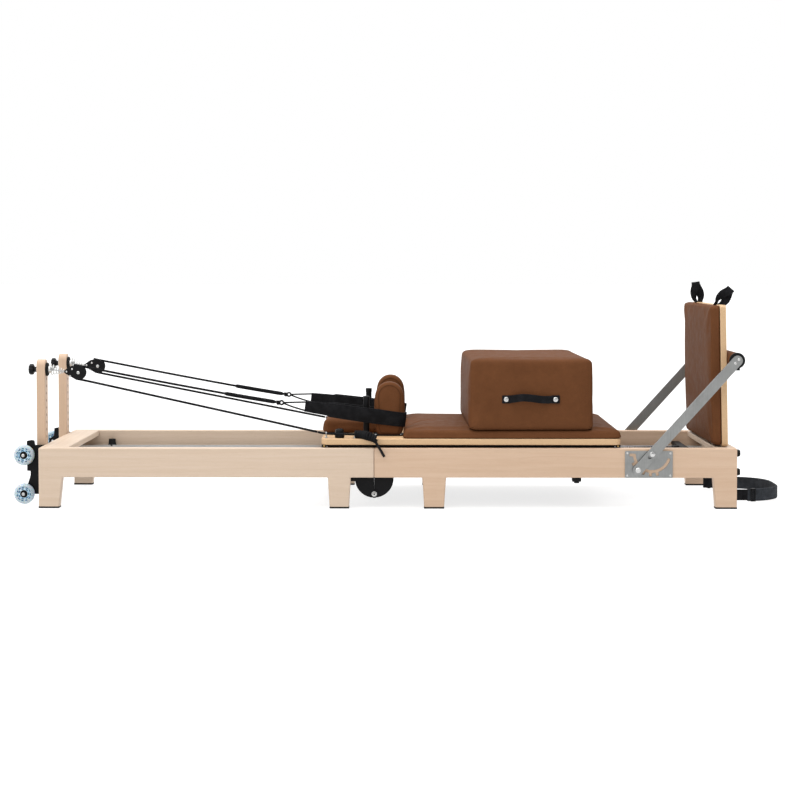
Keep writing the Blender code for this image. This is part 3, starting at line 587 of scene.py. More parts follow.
def cushion(name, outline, low, high, axis, edge, shrink, cap, voxel, held, body, replaces,
            place=None):
    """A stuffed form: an outline raised along an axis, remeshed, swollen as cloth, and smoothed.
    outline(inset) gives the plan's points; edge is how far its corners are rounded
    and cap how far the cloth may swell;
    held(points) says which points stay put; place(points) moves the finished form."""
    def plane(points, at):
        return np.insert(points, axis, at, axis=1)

    rings, steps = [], 4
    foot = edge * 0.4 if held else edge
    for k in range(steps + 1):
        a = pi / 2 * k / steps
        rings.append(plane(outline(shrink + foot * (1 - sin(a))),
                           low + (0 if held else shrink) + foot * (1 - cos(a))))
    for k in range(steps, -1, -1):
        a = pi / 2 * k / steps
        rings.append(plane(outline(shrink + edge * (1 - sin(a))), high - shrink - edge * (1 - cos(a))))
    made = Part(name).loft(rings, hide).done()
    remesh = made.modifiers.new("remesh", "REMESH")
    remesh.mode, remesh.voxel_size, remesh.use_smooth_shade = "VOXEL", voxel, True
    apply_all(made)
    count = len(made.data.vertices)
    rest = np.empty(count * 3)
    made.data.vertices.foreach_get("co", rest)
    rest = rest.reshape(-1, 3)
    moved = rest.copy()
    fixed = held(rest) if held else np.zeros(count, bool)
    if fixed.any():
        group = made.vertex_groups.new(name="held")
        group.add([int(i) for i in np.flatnonzero(fixed)], 1.0, "REPLACE")
    cloth = made.modifiers.new("cloth", "CLOTH")
    settings = cloth.settings
    settings.use_pressure, settings.uniform_pressure_force = True, 4.0
    settings.effector_weights.gravity = 0
    settings.tension_stiffness = settings.compression_stiffness = 20
    settings.bending_stiffness = 1.5
    settings.quality = 5
    if fixed.any():
        settings.vertex_group_mass = "held"
    cloth.collision_settings.use_collision = False
    cloth.point_cache.frame_start, cloth.point_cache.frame_end = 1, CLOTH_FRAMES
    for f in range(1, CLOTH_FRAMES + 1):
        bpy.context.scene.frame_set(f)
    shown = made.evaluated_get(bpy.context.evaluated_depsgraph_get())
    flat = np.empty(count * 3)
    shown.data.vertices.foreach_get("co", flat)
    step = flat.reshape(-1, 3) - rest
    size = np.linalg.norm(step, axis=1, keepdims=True)
    moved = rest + step * np.where(size > 1e-9, cap * np.tanh(size / cap) / np.maximum(size, 1e-9), 0)
    made.modifiers.remove(cloth)
    made.vertex_groups.clear()
    bpy.context.scene.frame_set(1)
    if place:
        moved = place(moved)
    made.data.vertices.foreach_set("co", moved.ravel())
    made.data.update()
    smooth = made.modifiers.new("smooth", "SMOOTH")
    smooth.factor, smooth.iterations = 0.5, 4
    made.modifiers.new("finer", "SUBSURF").levels = 1
    apply_all(made)
    made.data.materials.clear()
    made.data.materials.append(hide)
    made.data.shade_smooth()
    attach(made, body)
    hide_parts(*replaces)
    return made


def apply_all(made):
    bpy.context.view_layer.update()
    mesh = bpy.data.meshes.new_from_object(made.evaluated_get(bpy.context.evaluated_depsgraph_get()))
    made.modifiers.clear()
    made.data = mesh


def rounded(low, high, radius, steps=5):
    """The plan of a cushion between two corners: a function of how far it is set in."""
    (a, b), (c, d) = low, high

    def outline(inset):
        s = slab(c - a - 2 * inset, d - b - 2 * inset, max(radius - inset, 0.004), steps)
        return s + np.array([(a + c) / 2, (b + d) / 2])
    return outline


def creased(points, creases):
    """Soft grooves pressed into a cushion's top, each along a line."""
    points = np.array(points)
    for start, end, depth, width in creases:
        a, along = np.array(start), np.array(end) - np.array(start)
        t = np.clip((points[:, :2] - a) @ along / (along @ along), 0, 1)
        off = np.linalg.norm(points[:, :2] - a - t[:, None] * along, axis=1)
        high = np.clip((points[:, 2] - points[:, 2].min()) / np.ptp(points[:, 2]), 0, 1)
        points[:, 2] -= depth * high * (1 - 0.7 * t) * np.exp(-(off / width) ** 2)
    return points


# carriage pad, headrest and sitting box
CREASES = (((-0.004, -0.160), (0.090, 0.010), 0.0085, 0.011),
           ((0.010, -0.255), (0.085, -0.150), 0.0050, 0.012))
pad_low, pad_high = (np.array(v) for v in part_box("carriage_pad"))
cushion("carriage_cushion", rounded(pad_low[:2] - (0.004, 0), pad_high[:2], 0.020), pad_low[2], pad_high[2],
        2, 0.011, -0.002, 0.006, 0.0065, lambda p: p[:, 2] < pad_low[2] + 0.004, "carriage",
        ["carriage_pad"], lambda p: creased(p, CREASES))
rest_low, rest_high = (np.array(v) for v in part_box("headrest"))
cushion("headrest_cushion", rounded(rest_low[:2], rest_high[:2], 0.030), rest_low[2], rest_high[2], 2,
        0.016, 0.001, 0.006, 0.005, lambda p: p[:, 2] < rest_low[2] + 0.003, "headrest", ["headrest"])
BOX_LOW, BOX_HIGH = np.array([0.2205, -0.320, 0.2655]), np.array([0.6365, 0.320, 0.506])
BOX_TURN = radians(1.0)
BOX_MID = (BOX_LOW + BOX_HIGH) / 2


def askew(points):
    """The box was put down a little askew: its own directions turned to the machine's."""
    d = np.asarray(points, float) - BOX_MID
    return BOX_MID + np.stack([d[..., 0] * cos(BOX_TURN) - d[..., 1] * sin(BOX_TURN),
                               d[..., 0] * sin(BOX_TURN) + d[..., 1] * cos(BOX_TURN), d[..., 2]], -1)


box_plan = rounded(BOX_LOW[:2], BOX_HIGH[:2], 0.016)
box = cushion("sitting_box_cushion", box_plan, BOX_LOW[2], BOX_HIGH[2], 2, 0.015, -0.0015, 0.0030, 0.0085,
              lambda p: p[:, 2] < BOX_LOW[2] + 0.003, "sitting_box", ["sitting_box"], askew)

# jump board's pad, which leans with its panel
BOARD_AT = np.array([1.1052, 0, 0.2067])
BOARD_THICK, BOARD_HALF, BOARD_TALL = 0.020, 0.285, 0.482
PAD_THICK = 0.033


def leaned(points):
    """From the board's own directions (through to the back, across, up) to the machine's."""
    p = np.asarray(points, float)
    return BOARD_AT + np.stack([p[..., 0] * cos(LEAN) - p[..., 2] * sin(LEAN), p[..., 1],
                                p[..., 0] * sin(LEAN) + p[..., 2] * cos(LEAN)], -1)


pad_back = -BOARD_THICK - 0.0003
cushion("jump_board_cushion", rounded((-BOARD_HALF - 0.002, 0.0), (BOARD_HALF + 0.002, BOARD_TALL + 0.004),
                                      0.016), pad_back - PAD_THICK, pad_back, 0, 0.009, 0.0, 0.005, 0.0075,
        lambda p: p[:, 0] > -BOARD_THICK - 0.0035, "jump_board", ["jump_board_pad"], leaned)

# shoulder rests: upright pads with a piped edge
for side, sign in SIDES:
    low, high = (np.array(v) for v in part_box(f"shoulder_rest_{side}"))

    def outline(inset, low=low, high=high):
        """A tall pad with a round top, drawn in at the foot."""
        middle, half, base = (low[0] + high[0]) / 2, (high[0] - low[0]) / 2 - inset, low[2] + inset
        a = np.linspace(0, pi, 17)
        top = np.column_stack([middle + half * np.cos(a), high[2] - inset - half + half * np.sin(a)])
        foot = [(-half, base + 0.034), (-half * 0.97, base + 0.022), (-half * 0.86, base + 0.008),
                (-half * 0.68, base)]
        foot = [(middle + x, z) for x, z in foot]
        return np.vstack([top, foot, [(2 * middle - x, z) for x, z in foot[::-1]]])
    made = cushion(f"shoulder_cushion_{side}", outline, low[1], high[1], 1, 0.012, -0.0012, 0.004, 0.0045,
                   None, "carriage", [f"shoulder_rest_{side}"])
    tree = tree_of(made)
    part = Part(f"shoulder_piping_{side}")
    for face in (-1, 1):
        y = (low[1] + high[1]) / 2 + face * (high[1] - low[1]) * 0.55
        loop = curve([(x, y, z) for x, z in outline(0.0105)], 0.005, closed=True)
        loop, _ = laid_on(tree, loop, 0.0001)
        part.tube(loop, 0.0013, hide_seam, 7, closed=True)
    part.done("carriage", pieces_slot="brown_leather")

# ---- ropes ----
ROPE, TAIL = 0.0039, 0.0045                          # radii of the rope and of its frayed end
SHEAVE = np.array([-1.124, 0.452])
ON_SHEAVE = 0.023
LOOP_KNOT = (-0.430, 0.348)


def rope_route(sign):
    y = ROPE_Y
    upper = [(LOOP_KNOT[0], y, LOOP_KNOT[1]), (-0.60, y, 0.3765), (-0.85, y, 0.4225)]
    first, last = pi / 2 - 0.183, 3 * pi / 2 - 0.204
    arc = [(SHEAVE[0] + ON_SHEAVE * cos(first + (last - first) * k / 12), y,
            SHEAVE[1] + ON_SHEAVE * sin(first + (last - first) * k / 12)) for k in range(13)]
    lower = [(-1.075, y, 0.4184), (-0.84, 0.2173, 0.3698), (-0.52, 0.2573, 0.3036), (-0.290, 0.2860, 0.2555),
             (-0.262, 0.2930, 0.2510), (-0.217, 0.3010, 0.2505), (-0.165, 0.2990, 0.2490)]
    tail = [(-0.125, 0.3110, 0.2450), (-0.100, 0.3300, 0.2380), (-0.083, 0.3400, 0.2100),
            (-0.066, 0.3410, 0.1810)]
    turn = np.array([1, sign, 1])
    return [np.array(p) * turn for p in (upper, arc, lower, tail)]


for side, sign in SIDES:
    upper, arc, lower, tail = rope_route(sign)
    whole = curve(np.vstack([upper, arc, lower, tail]), 0.006)
    turn_in = int(np.argmin(np.linalg.norm(whole - arc[0], axis=1)))
    turn_out = int(np.argmin(np.linalg.norm(whole - arc[-1], axis=1)))
    fixed = int(np.argmin(np.linalg.norm(whole - lower[3], axis=1)))
    fine = curve(np.vstack([upper, arc, lower, tail]), 0.002)
    runs = (("upper", whole[:turn_in + 1]), ("lower", whole[turn_out:fixed + 1]))
    for label, line in runs:
        run = Part(f"rope_{label}_{side}").tube(line, ROPE, braid, 10).done()
        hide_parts(f"rope_{side}")
        a, b = (SHEAVE[0] + 0.01, LOOP_KNOT[0]) if label == "upper" else (SHEAVE[0] + 0.01, -0.300)
        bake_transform(run)
    wrap = fine[(fine[:, 0] < whole[turn_in][0] + 0.001) & (fine[:, 2] > 0.40)]
    Part(f"rope_wrap_{side}").tube(wrap, ROPE, braid, 10).done("head_frame")

    # thick sleeve, knot ring and the V of thin cord
    sleeve = np.array([p for p in whole[:turn_in] if -0.623 < p[0] < -0.440])
    girth = np.full(len(sleeve), 0.0069)
    girth[0] = girth[-1] = 0.0043
    girth[1] = girth[-2] = 0.0063
    Part(f"rope_sleeve_{side}").tube(sleeve, girth, quilt, 14).done("carriage")
    y = sign * ROPE_Y
    ring = Part(f"rope_end_{side}")
    at = np.array([LOOP_KNOT[0], y, LOOP_KNOT[1]])
    turns = np.linspace(0, 2 * pi * 3.6, 60)
    coil = np.column_stack([at[0] - 0.009 + turns / turns[-1] * 0.013, at[1] + 0.0060 * np.cos(turns),
                            at[2] + 0.0060 * np.sin(turns)])
    ring.tube(coil, 0.0021, braid, 7)
    ring.hoop(at + (0.0085, 0, 0), FOOTWARD, UP, 0.0066, 0.0031, coat, 28)
    for height in (0.350, 0.320):
        end = (-0.338, y, height)
        drop = height - at[2]
        ring.tube(curve([at + (0.015, 0, drop * 0.08), at + (0.05, 0, drop * 0.55), end], 0.006), 0.0028,
                  braid, 8)
    ring.done("carriage")

    # eyelets, the rope's clamped end, its wrapped knot and its short tail
    part = Part(f"rope_eyelets_{side}")
    for x, yy, z in (lower[4], lower[6]):
        post = [(0, 0.0078), (0.0012, 0.0078), (0.002, 0.0034), (z - DECK - 0.005, 0.0030)]
        part.lathe((x, yy, DECK), UP, post, silver, 18)
        part.hoop((x, yy, z), (0, 1, 0), UP, 0.0058, 0.0015, silver)
    part.done("carriage")
    held, on = curve(lower[3:], 0.005), curve(np.vstack([lower[-1], tail[:2]]), 0.005)[1:]
    Part(f"rope_clamped_{side}").tube(np.vstack([held, on]), ROPE, braid, 10).done("carriage")
    knot = curve([(-0.161, sign * 0.3035, 0.2495), (-0.135, sign * 0.3120, 0.2480),
                  (-0.112, sign * 0.3260, 0.2440), (-0.092, sign * 0.3330, 0.2355)], 0.0008)
    run_side, run_over = frames_of(knot)
    s = np.linspace(0, length_of(knot), len(knot))
    phase = s / 0.0080 * 2 * pi
    swell = 0.0104 + 0.0030 * np.sin(np.clip(s / s[-1] * 1.15, 0, 1) * pi) * (s / s[-1])
    wound = knot + run_side * (swell * np.cos(phase))[:, None] + run_over * (swell * np.sin(phase))[:, None]
    Part(f"rope_knot_{side}").tube(wound, 0.0044, braid, 9).done("carriage")
    loose = curve(np.vstack([tail[1:], tail[-1:] + (0.002, 0, -0.004)]), 0.004)
    hang = Part(f"rope_tail_{side}").tube(loose, TAIL, braid, 10).done("carriage")

# ---- hand loops ----
for side, sign in SIDES:
    y0 = sign * LOOP_Y
    left, right, wide = -0.340, 0.0050, 0.0350
    top = [(left, 0.005), (-0.30, 0.0125), (-0.24, 0.0235), (-0.17, 0.0325), (-0.11, wide),
           (-0.05, wide + 0.0005), (-0.022, wide), (-0.006, 0.0300), (right - 0.0015, 0.018), (right, 0.0)]
    half = [(x, y0 - sign * dy, 0.2915 - 0.130 * x) for x, dy in top]
    back = [(x, y0 + sign * dy, z) for (x, dy), (_, _, z) in zip(top, half)][-2::-1]
    line = curve(half + back, 0.004)
    x = line[:, 0]
    tall = np.interp(x, [-0.343, -0.300, -0.262, -0.250, -0.10, 0.0],
                     [0.034, 0.038, 0.040, 0.047, 0.050, 0.047])
    thick = np.interp(x, [-0.343, -0.262, -0.252, -0.24, 0.0], [0.003, 0.0032, 0.0065, 0.0085, 0.008])
    ref = np.broadcast_to((0.13, 0, 1.0), line.shape)
    loop = Part(f"hand_loop_pad_{side}").sweep(line, [slab(a, b) for a, b in zip(tall, thick)], quilt, ref)
    up, out = frames_of(line, ref=ref)
    for edge in (-1, 1):
        path = line + up * (edge * (tall / 2 - 0.0055))[:, None]
        for face in (-1, 1):
            loop.stitches(path + out * (face * thick * 0.48)[:, None], out * face, long=0.004, gap=0.002,
                          radius=0.0005)
        rim = line + up * (edge * (tall / 2 - 0.0008))[:, None]
        loop.sweep(rim, [slab(0.0032, t + 0.0012) for t in thick], band, ref)
    for bar in (-0.325, -0.268, -0.115, -0.020):
        k = int(np.argmin(np.abs(x[:len(x) // 2] - bar)))
        reach = tall[k] / 2 - 0.006
        across = line[k] + np.outer(np.linspace(-reach, reach, 8), up[k]) + out[k] * (thick[k] / 2 + 0.0001)
        loop.stitches(across, out[k])
    made = loop.done("carriage", replaces=[f"hand_loop_{side}"])

# ---- carriage details ----
part = Part("carriage_fittings")
PEG_X = -0.128
for side, sign in SIDES:
    y0, y1 = sign * 0.3005 - 0.0075, sign * 0.3005 + 0.0075
    for x0, x1 in ((-0.2775, -0.2600), (0.7200, 0.7375)):
        part.block((x0, y0, 0.2060), (x1, y1, 0.2146), 0.0018, plastic)
    peg_top = [(-0.012, 0.0112), (-0.0005, 0.0116), (0.0012, 0.0108), (0.002, 0.006), (0.002, 0)]
    part.lathe((PEG_X, sign * LOOP_Y, 0.3700), UP, peg_top, plastic, 24)
    peg_foot = [(0, 0.021), (0.003, 0.021), (0.0042, 0.0195), (0.0045, 0.0125), (0.008, 0.0118), (0.0085, 0)]
    part.lathe((PEG_X, sign * LOOP_Y, DECK), UP, peg_foot, plastic, 28)
    part.block((-0.104, sign * LOOP_Y - 0.034, DECK), (0.004, sign * LOOP_Y + 0.034, 0.2405), 0.0012, coat)
part.done("carriage")
part = Part("carriage_screws")
for side, sign in SIDES:
    for x in (-0.2685, 0.7285):
        part.screw((x, sign * 0.3075, 0.2103), (0, sign, 0), 0.0032, 0.0018, brass)
    for x in (-0.095, -0.008):
        part.screw((x, sign * 0.2185, 0.2404), UP, 0.0035, 0.0018)
part.done("carriage", pieces_slot="brushed_steel")

for side, sign in SIDES:
    at = (-0.217, sign * 0.285, 0.2363)
    skirt = [(0.0003, 0.0155), (0.006, 0.0165), (0.0095, 0.0165), (0.0105, 0.0152), (0.0105, 0)]
    crown = [(0.0095, 0.0150), (0.020, 0.0152), (0.0265, 0.0142), (0.0298, 0.0112), (0.0312, 0.0065),
             (0.0316, 0)]
    part = Part(f"clamp_knob_cap_{side}").lathe(at, UP, skirt, plastic, 36).lathe(at, UP, crown, plastic, 12)
    part.done(f"clamp_knob_{side}", sharp=20, replaces=[f"clamp_knob_{side}"])

# ---- springs ----
SPRING_Z, COIL, WIRE = 0.158, 0.0106, 0.00125
SPRINGS_Y = (-0.105, -0.035, 0.035, 0.105)
COIL_START, COIL_END, PITCH = 0.622, 0.972, 0.0030
CARRIAGE_END, BAR_END = 0.6015, 0.9990
part = Part("springs_coiled")
turns = (COIL_END - COIL_START) / PITCH
for y in SPRINGS_Y:
    a = np.linspace(0, 2 * pi * turns, int(turns * 14))
    coil = [COIL_START + a / (2 * pi) * PITCH, y + COIL * np.cos(a), SPRING_Z + COIL * np.sin(a)]
    part.tube(np.column_stack(coil), WIRE, coil_steel, 6)
    for x0, x1, d in ((COIL_START, CARRIAGE_END, -1), (COIL_END, BAR_END, 1)):
        hook = [(0, COIL, 0), (0.006, COIL * 0.6, 0.004), (0.011, 0, 0.0075), (0.019, 0, 0.006),
                (d * (x1 - x0) / 2 + 0.009, 0, 0), (0.018, 0, -0.006), (0.010, 0, -0.005)]
        part.tube(curve([(x0 + d * along, y + across, SPRING_Z + up) for along, across, up in hook], 0.0015),
                  WIRE, coil_steel, 6)
springs = part.done(replaces=["spring_1", "spring_2", "spring_3", "spring_4"])
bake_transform(springs)
part = Part("spring_hooks")
for y in SPRINGS_Y:
    cap = [(0, 0.0118), (0.002, 0.0125), (0.024, 0.0125), (0.027, 0.0115), (0.027, 0)]
    part.lathe((BAR_END, y, SPRING_Z), (-1, 0, 0), cap, plastic, 24)
part.done("springs")

# ---- transport wheels ----
TYRE = mirrored([(0.002, 0.0354), (0.0065, 0.0342), (0.0100, 0.0305), (0.0117, 0.0250), (0.0112, 0.0215),
                 (0.0085, 0.0195)])
CORE = mirrored([(0.0080, 0.0200), (0.0098, 0.0192), (0.0098, 0.0140), (0.0088, 0.0130)])
BEARING = mirrored([(0.0092, 0.0131), (0.0102, 0.0124), (0.0102, 0.0048)])
for side, sign in SIDES:
    for level, z in WHEEL_LEVELS.items():
        at, out = (WHEEL_X, sign * WHEEL_Y, z), (0, sign, 0)
        part = Part(f"transport_wheel_set_{level}_{side}")
        for profile, material, count in ((TYRE, tyre, 56), (CORE, core, 48), (BEARING, rubber, 36)):
            part.lathe(at, out, profile, material, count)
        part.screw(np.array(at) + np.array(out) * 0.0171, out, 0.0058, 0.0028)
        for ring_at, dashes, face in ((0.0168, 7, 0.0099), (0.0234, 11, 0.0113)):
            for k in range(dashes):
                a = np.linspace(0, 2 * pi / dashes * 0.55, 6) + 2 * pi * k / dashes + ring_at * 40
                for way in (-1, 1):
                    arc = [WHEEL_X + ring_at * np.cos(a), np.full(6, at[1] + way * face),
                           z + ring_at * np.sin(a)]
                    part.sweep(np.column_stack(arc), slab(0.0012, 0.0034, 0.0004, 1), dash_blue,
                               ref=(0, 1, 0))
        part.done(f"transport_wheel_{level}_{side}", replaces=[f"transport_wheel_{level}_{side}"])

# ---- head end hardware ----
KNOB_Z, RISER_OUT, RISER_IN = 0.463, -1.2663, -1.2363


def wrapped(points):
    """The outline of a band drawn round a set of points."""
    points = sorted(map(tuple, points))
    lines = []
    for run in (points, points[::-1]):
        line = []
        for p in run:
            while len(line) > 1 and ((line[-1][0] - line[-2][0]) * (p[1] - line[-2][1])
                                     <= (line[-1][1] - line[-2][1]) * (p[0] - line[-2][0])):
                line.pop()
            line.append(p)
        lines += line[:-1]
    return np.array(lines)


# The pulley block, from its sheave's middle: the rounds that its cheeks are drawn about, and its rivets.
CHEEK_ROUNDS = ((0, 0, 0.0252), (-0.021, 0.0085, 0.0150), (-0.0405, 0.0035, 0.0078))
CHEEK = wrapped(np.vstack([circle(48) * r + (x, z) for x, z, r in CHEEK_ROUNDS]))
CHEEK_LAYERS = ((0.97, 0.0082), (1.0, 0.0086), (1.0, 0.0102), (0.975, 0.0108))      # size, and height in it
AXLE, RIVETS = (0, 0, 0.0058), ((-0.021, 0.0124), (-0.0276, -0.012), (-0.0405, 0.0035))
for side, sign in SIDES:
    y = sign * ROPE_Y
    part = Part(f"riser_knob_cap_{side}")
    star = [(0, 0), (0.0, 0.0135), (0.0012, 0.0165), (0.0032, 0.0186), (0.013, 0.0190), (0.0165, 0.0165),
            (0.018, 0.0100), (0.028, 0.0086), (0.0285, 0.0)]
    part.lathe((RISER_OUT - 0.0295, y, KNOB_Z), FOOTWARD, star, plastic, 48, lobes=(8, 0.12))
    part.lathe((RISER_OUT - 0.003, y, KNOB_Z), FOOTWARD, [(0, 0.0105), (0.0024, 0.0105), (0.0024, 0)],
               silver, 24)
    part.done(f"riser_knob_{side}", replaces=[f"riser_knob_{side}"])
    part = Part(f"head_swivel_{side}")
    cup = [(0, 0.0232), (0.005, 0.0232), (0.0075, 0.0215), (0.0085, 0.013), (0.0085, 0)]
    part.lathe((RISER_IN, y, KNOB_Z), FOOTWARD, cup, rubber, 36)
    nut = [(0, 0.0125), (0.002, 0.0128), (0.010, 0.0118), (0.0125, 0.0098), (0.0105, 0.0090),
           (0.006, 0.0045), (0.006, 0)]
    part.lathe((RISER_IN + 0.0083, y, KNOB_Z), FOOTWARD, nut, silver, 28)
    a = np.linspace(0, 2 * pi * 6.0, 150)
    f = a / a[-1]
    wide = 0.0165 * (1 - f) ** 0.8 + 0.0030
    cone = [RISER_IN + 0.0145 + f * 0.052, y + wide * np.cos(a), KNOB_Z - 0.007 * f + wide * np.sin(a)]
    part.tube(np.column_stack(cone), 0.0015, silver, 7)
    rod = [(RISER_IN + 0.012, y, KNOB_Z), (RISER_IN + 0.03, y, KNOB_Z - 0.003), (-1.166, y, 0.4555)]
    part.tube(rod, 0.0022, silver, 8).hoop((-1.1645, y, 0.455), FOOTWARD, UP, 0.0062, 0.0016, silver, 22)
    part.done("head_frame", pieces_slot="brushed_steel")
    part = Part(f"pulley_cheeks_{side}")
    for face in (-1, 1):
        layers = [np.insert(CHEEK * size + SHEAVE, 1, y + face * up, axis=1) for size, up in CHEEK_LAYERS]
        part.loft(layers, coat)
    for dx, dz, r in (AXLE, *((dx, dz, 0.0040) for dx, dz in RIVETS)):
        part.lathe((SHEAVE[0] + dx, y - 0.0086, SHEAVE[1] + dz), (0, 1, 0), [(0, r), (0.0172, r)], coat, 20)
    part.done("head_frame", replaces=[f"pulley_block_{side}"])
    part = Part(f"pulley_rivets_{side}")
    for face in (-1, 1):
        for dx, dz, r in (AXLE, *((dx, dz, r) for (dx, dz), r in zip(RIVETS, (0.0036, 0.0036, 0.0034)))):
            part.screw((SHEAVE[0] + dx, y + face * 0.011, SHEAVE[1] + dz), (0, face, 0), r, 0.0024)
    part.done("head_frame")

STOP = [(0, 0.0150), (0.0035, 0.0158), (0.006, 0.0142), (0.020, 0.0128), (0.024, 0.0128), (0.0262, 0.0118),
        (0.027, 0.006), (0.025, 0.005), (0.025, 0)]
HOLE = [(-0.001, 0.0042), (0.0003, 0.0042), (0.0005, 0.0039), (0.0005, 0.0032), (-0.0006, 0.0030),
        (-0.0006, 0)]
HOLES, TOP_HOLE, HOLES_APART = 9, 0.430, 0.025
SHANK = [(-0.012, 0.0042), (0.004, 0.0042), (0.004, 0)]
part = Part("head_stops")
for side, sign in SIDES:
    part.lathe((-1.089, sign * 0.2770, 0.1484), UP, STOP, rubber, 28)
part.done("head_frame")
part = Part("riser_holes")
for side, sign in SIDES:
    for k in range(HOLES):
        for x, way in ((RISER_IN, 1), (RISER_OUT, -1)):
            part.lathe((x, sign * ROPE_Y, TOP_HOLE - HOLES_APART * k), (way, 0, 0), HOLE, coat, 20)
part.done("head_frame")
part = Part("wheel_bracket_bolts")
for side, sign in SIDES:
    for z in WHEEL_LEVELS.values():
        part.lathe((WHEEL_X, sign * 0.2382, z), (0, sign, 0), SHANK, silver, 16)
    for z in (0.118, 0.090):
        part.screw((-1.2701, sign * 0.190, z), (-1, 0, 0), 0.0055, 0.0032)
part.done("head_frame")

# ---- frame details ----
LEGS = {"head_frame": ((-1.236, -1.168), (-0.249, -0.184)), "foot_frame": ((0.071, 0.138), (1.057, 1.128))}
for body, feet in LEGS.items():
    part = Part(f"{body}_feet")
    for a, b in feet:
        part.pair((a - 0.0008, b + 0.0008), (0.2945, 0.3305), (0.0, 0.0062), 0.0014, rubber)
    part.done(body)

HINGE = (-0.0987, 0.2947, 0.045)
HINGE_BOLT = [(-0.0005, 0.0090), (0.0012, 0.0090), (0.0014, 0.0072), (0.0045, 0.0068), (0.0060, 0.0052),
              (0.0060, 0.0030), (0.0030, 0.0028), (0.0030, 0)]
part = Part("hinge_bolts")
for side, sign in SIDES:
    part.lathe((HINGE[0], sign * HINGE[1], HINGE[2]), (0, sign, 0), HINGE_BOLT, silver, 28)
part.done("head_frame")
low, high = (np.array(v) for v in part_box("carriage_frame"))
# Black strips under the carriage frame's long edges are painted shade: they darken the shadowed gap between
# the board and the rails.
part = Part("carriage_shade_strips")
part.pair((low[0] + 0.004, high[0] - 0.004), (0.2915, 0.2935), (0.2025, 0.2105), 0.0006,
          coat).done("carriage")
part = Part("hinge_stop_tabs")
part.pair((-0.186, -0.160), (0.2872, 0.2945), (0.0885, 0.1047), 0.001, coat).done("head_frame")
BUMPER = [(0, 0.0125), (0.004, 0.0128), (0.0105, 0.0115), (0.0125, 0.0095), (0.0125, 0.0035),
          (0.0095, 0.003), (0.0095, 0)]
part = Part("foot_end_bumpers")
for side, sign in SIDES:
    for z in (0.188, 0.124):
        part.lathe((1.1278, sign * 0.311, z), FOOTWARD, BUMPER, rubber, 28)
part.done("foot_frame")
part = Part("fold_catch")
part.block((0.572, -0.322, 0.0905), (0.603, -0.298, 0.1050), 0.003, plastic)
part.block((0.579, -0.3245, 0.0860), (0.596, -0.302, 0.0925), 0.002, plastic)
part.done("foot_frame")

# ---- footbar ----
ROLLER_X, ROLLER_Z = 1.1244, 0.5028
ARM_DIR = np.array([cos(radians(48)), 0, sin(radians(48))])
ARM_FACE, PIVOT = 0.3435, np.array([0.840, 0, 0.187])
PIN = PIVOT - ARM_DIR * 0.0727
SPAN = 0.3275                                        # half the roller's length
GRIP = mirrored([(0, 0.0258), (0.12, 0.0257), (SPAN - 0.02, 0.0255), (SPAN - 0.004, 0.0252), (SPAN, 0.0235)])
CAP = [(-0.002, 0.0245), (-0.001, 0.0262), (0.0005, 0.0267), (0.0085, 0.0267), (0.0098, 0.0258), (0.0098, 0)]
PIN_HEAD = [(-0.012, 0.0055), (0.002, 0.0055), (0.0035, 0.0092), (0.0065, 0.0092), (0.008, 0.0075),
            (0.008, 0)]
part = Part("footbar_grip").lathe((ROLLER_X, 0, ROLLER_Z), (0, 1, 0), GRIP, hide, 48)
seam = [np.full(60, ROLLER_X - 0.0178), np.linspace(-SPAN + 0.01, SPAN - 0.01, 60),
        np.full(60, ROLLER_Z - 0.0183)]
part.tube(np.column_stack(seam), 0.0009, hide_seam, 6)
grip = part.done("footbar", replaces=["footbar_roller"])
part = Part("footbar_caps")
screws = Part("footbar_screws")
for side, sign in SIDES:
    at, out = np.array([ROLLER_X, sign * SPAN, ROLLER_Z]), (0, sign, 0)
    part.lathe(at, out, CAP, plastic, 48)
    for d in (-0.0115, 0.0055):
        screws.screw(at + ARM_DIR * d + (0, sign * 0.0160, 0), out, 0.0050, 0.0028)
    lug = at + (0, sign * 0.005, 0)
    part.block(lug - (0.009, 0.005, 0.0335), lug + (0.009, 0.005, -0.0225), 0.0015, plastic)
    screws.hexagon(PIVOT + (0, sign * ARM_FACE, 0), out, 0.0092, 0.0055)
    screws.lathe(PIN + (0, sign * ARM_FACE, 0), out, PIN_HEAD, silver, 24)
    # the arm's two marks are filled, not open
    low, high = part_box(f"footbar_arm_{side}")
    middle, thick = (0, (low[1] + high[1]) / 2, 0), high[1] - low[1] - 0.0010
    for d in (0.0260, 0.0460):
        ends = [PIVOT + middle + ARM_DIR * e for e in (d, d + 0.0120)]
        screws.sweep(ends, slab(thick, 0.0042, 0.0004, 1), steel, ref=(0, 1, 0))
part.done("footbar")
screws.done("footbar")
part = Part("footbar_plate_screws")
for side, sign in SIDES:
    for x in (0.757, 0.902):
        for z in (0.1135, 0.189):
            part.screw((x, sign * 0.3333, z), (0, sign, 0), 0.0040, 0.0020)
part.done("foot_frame")

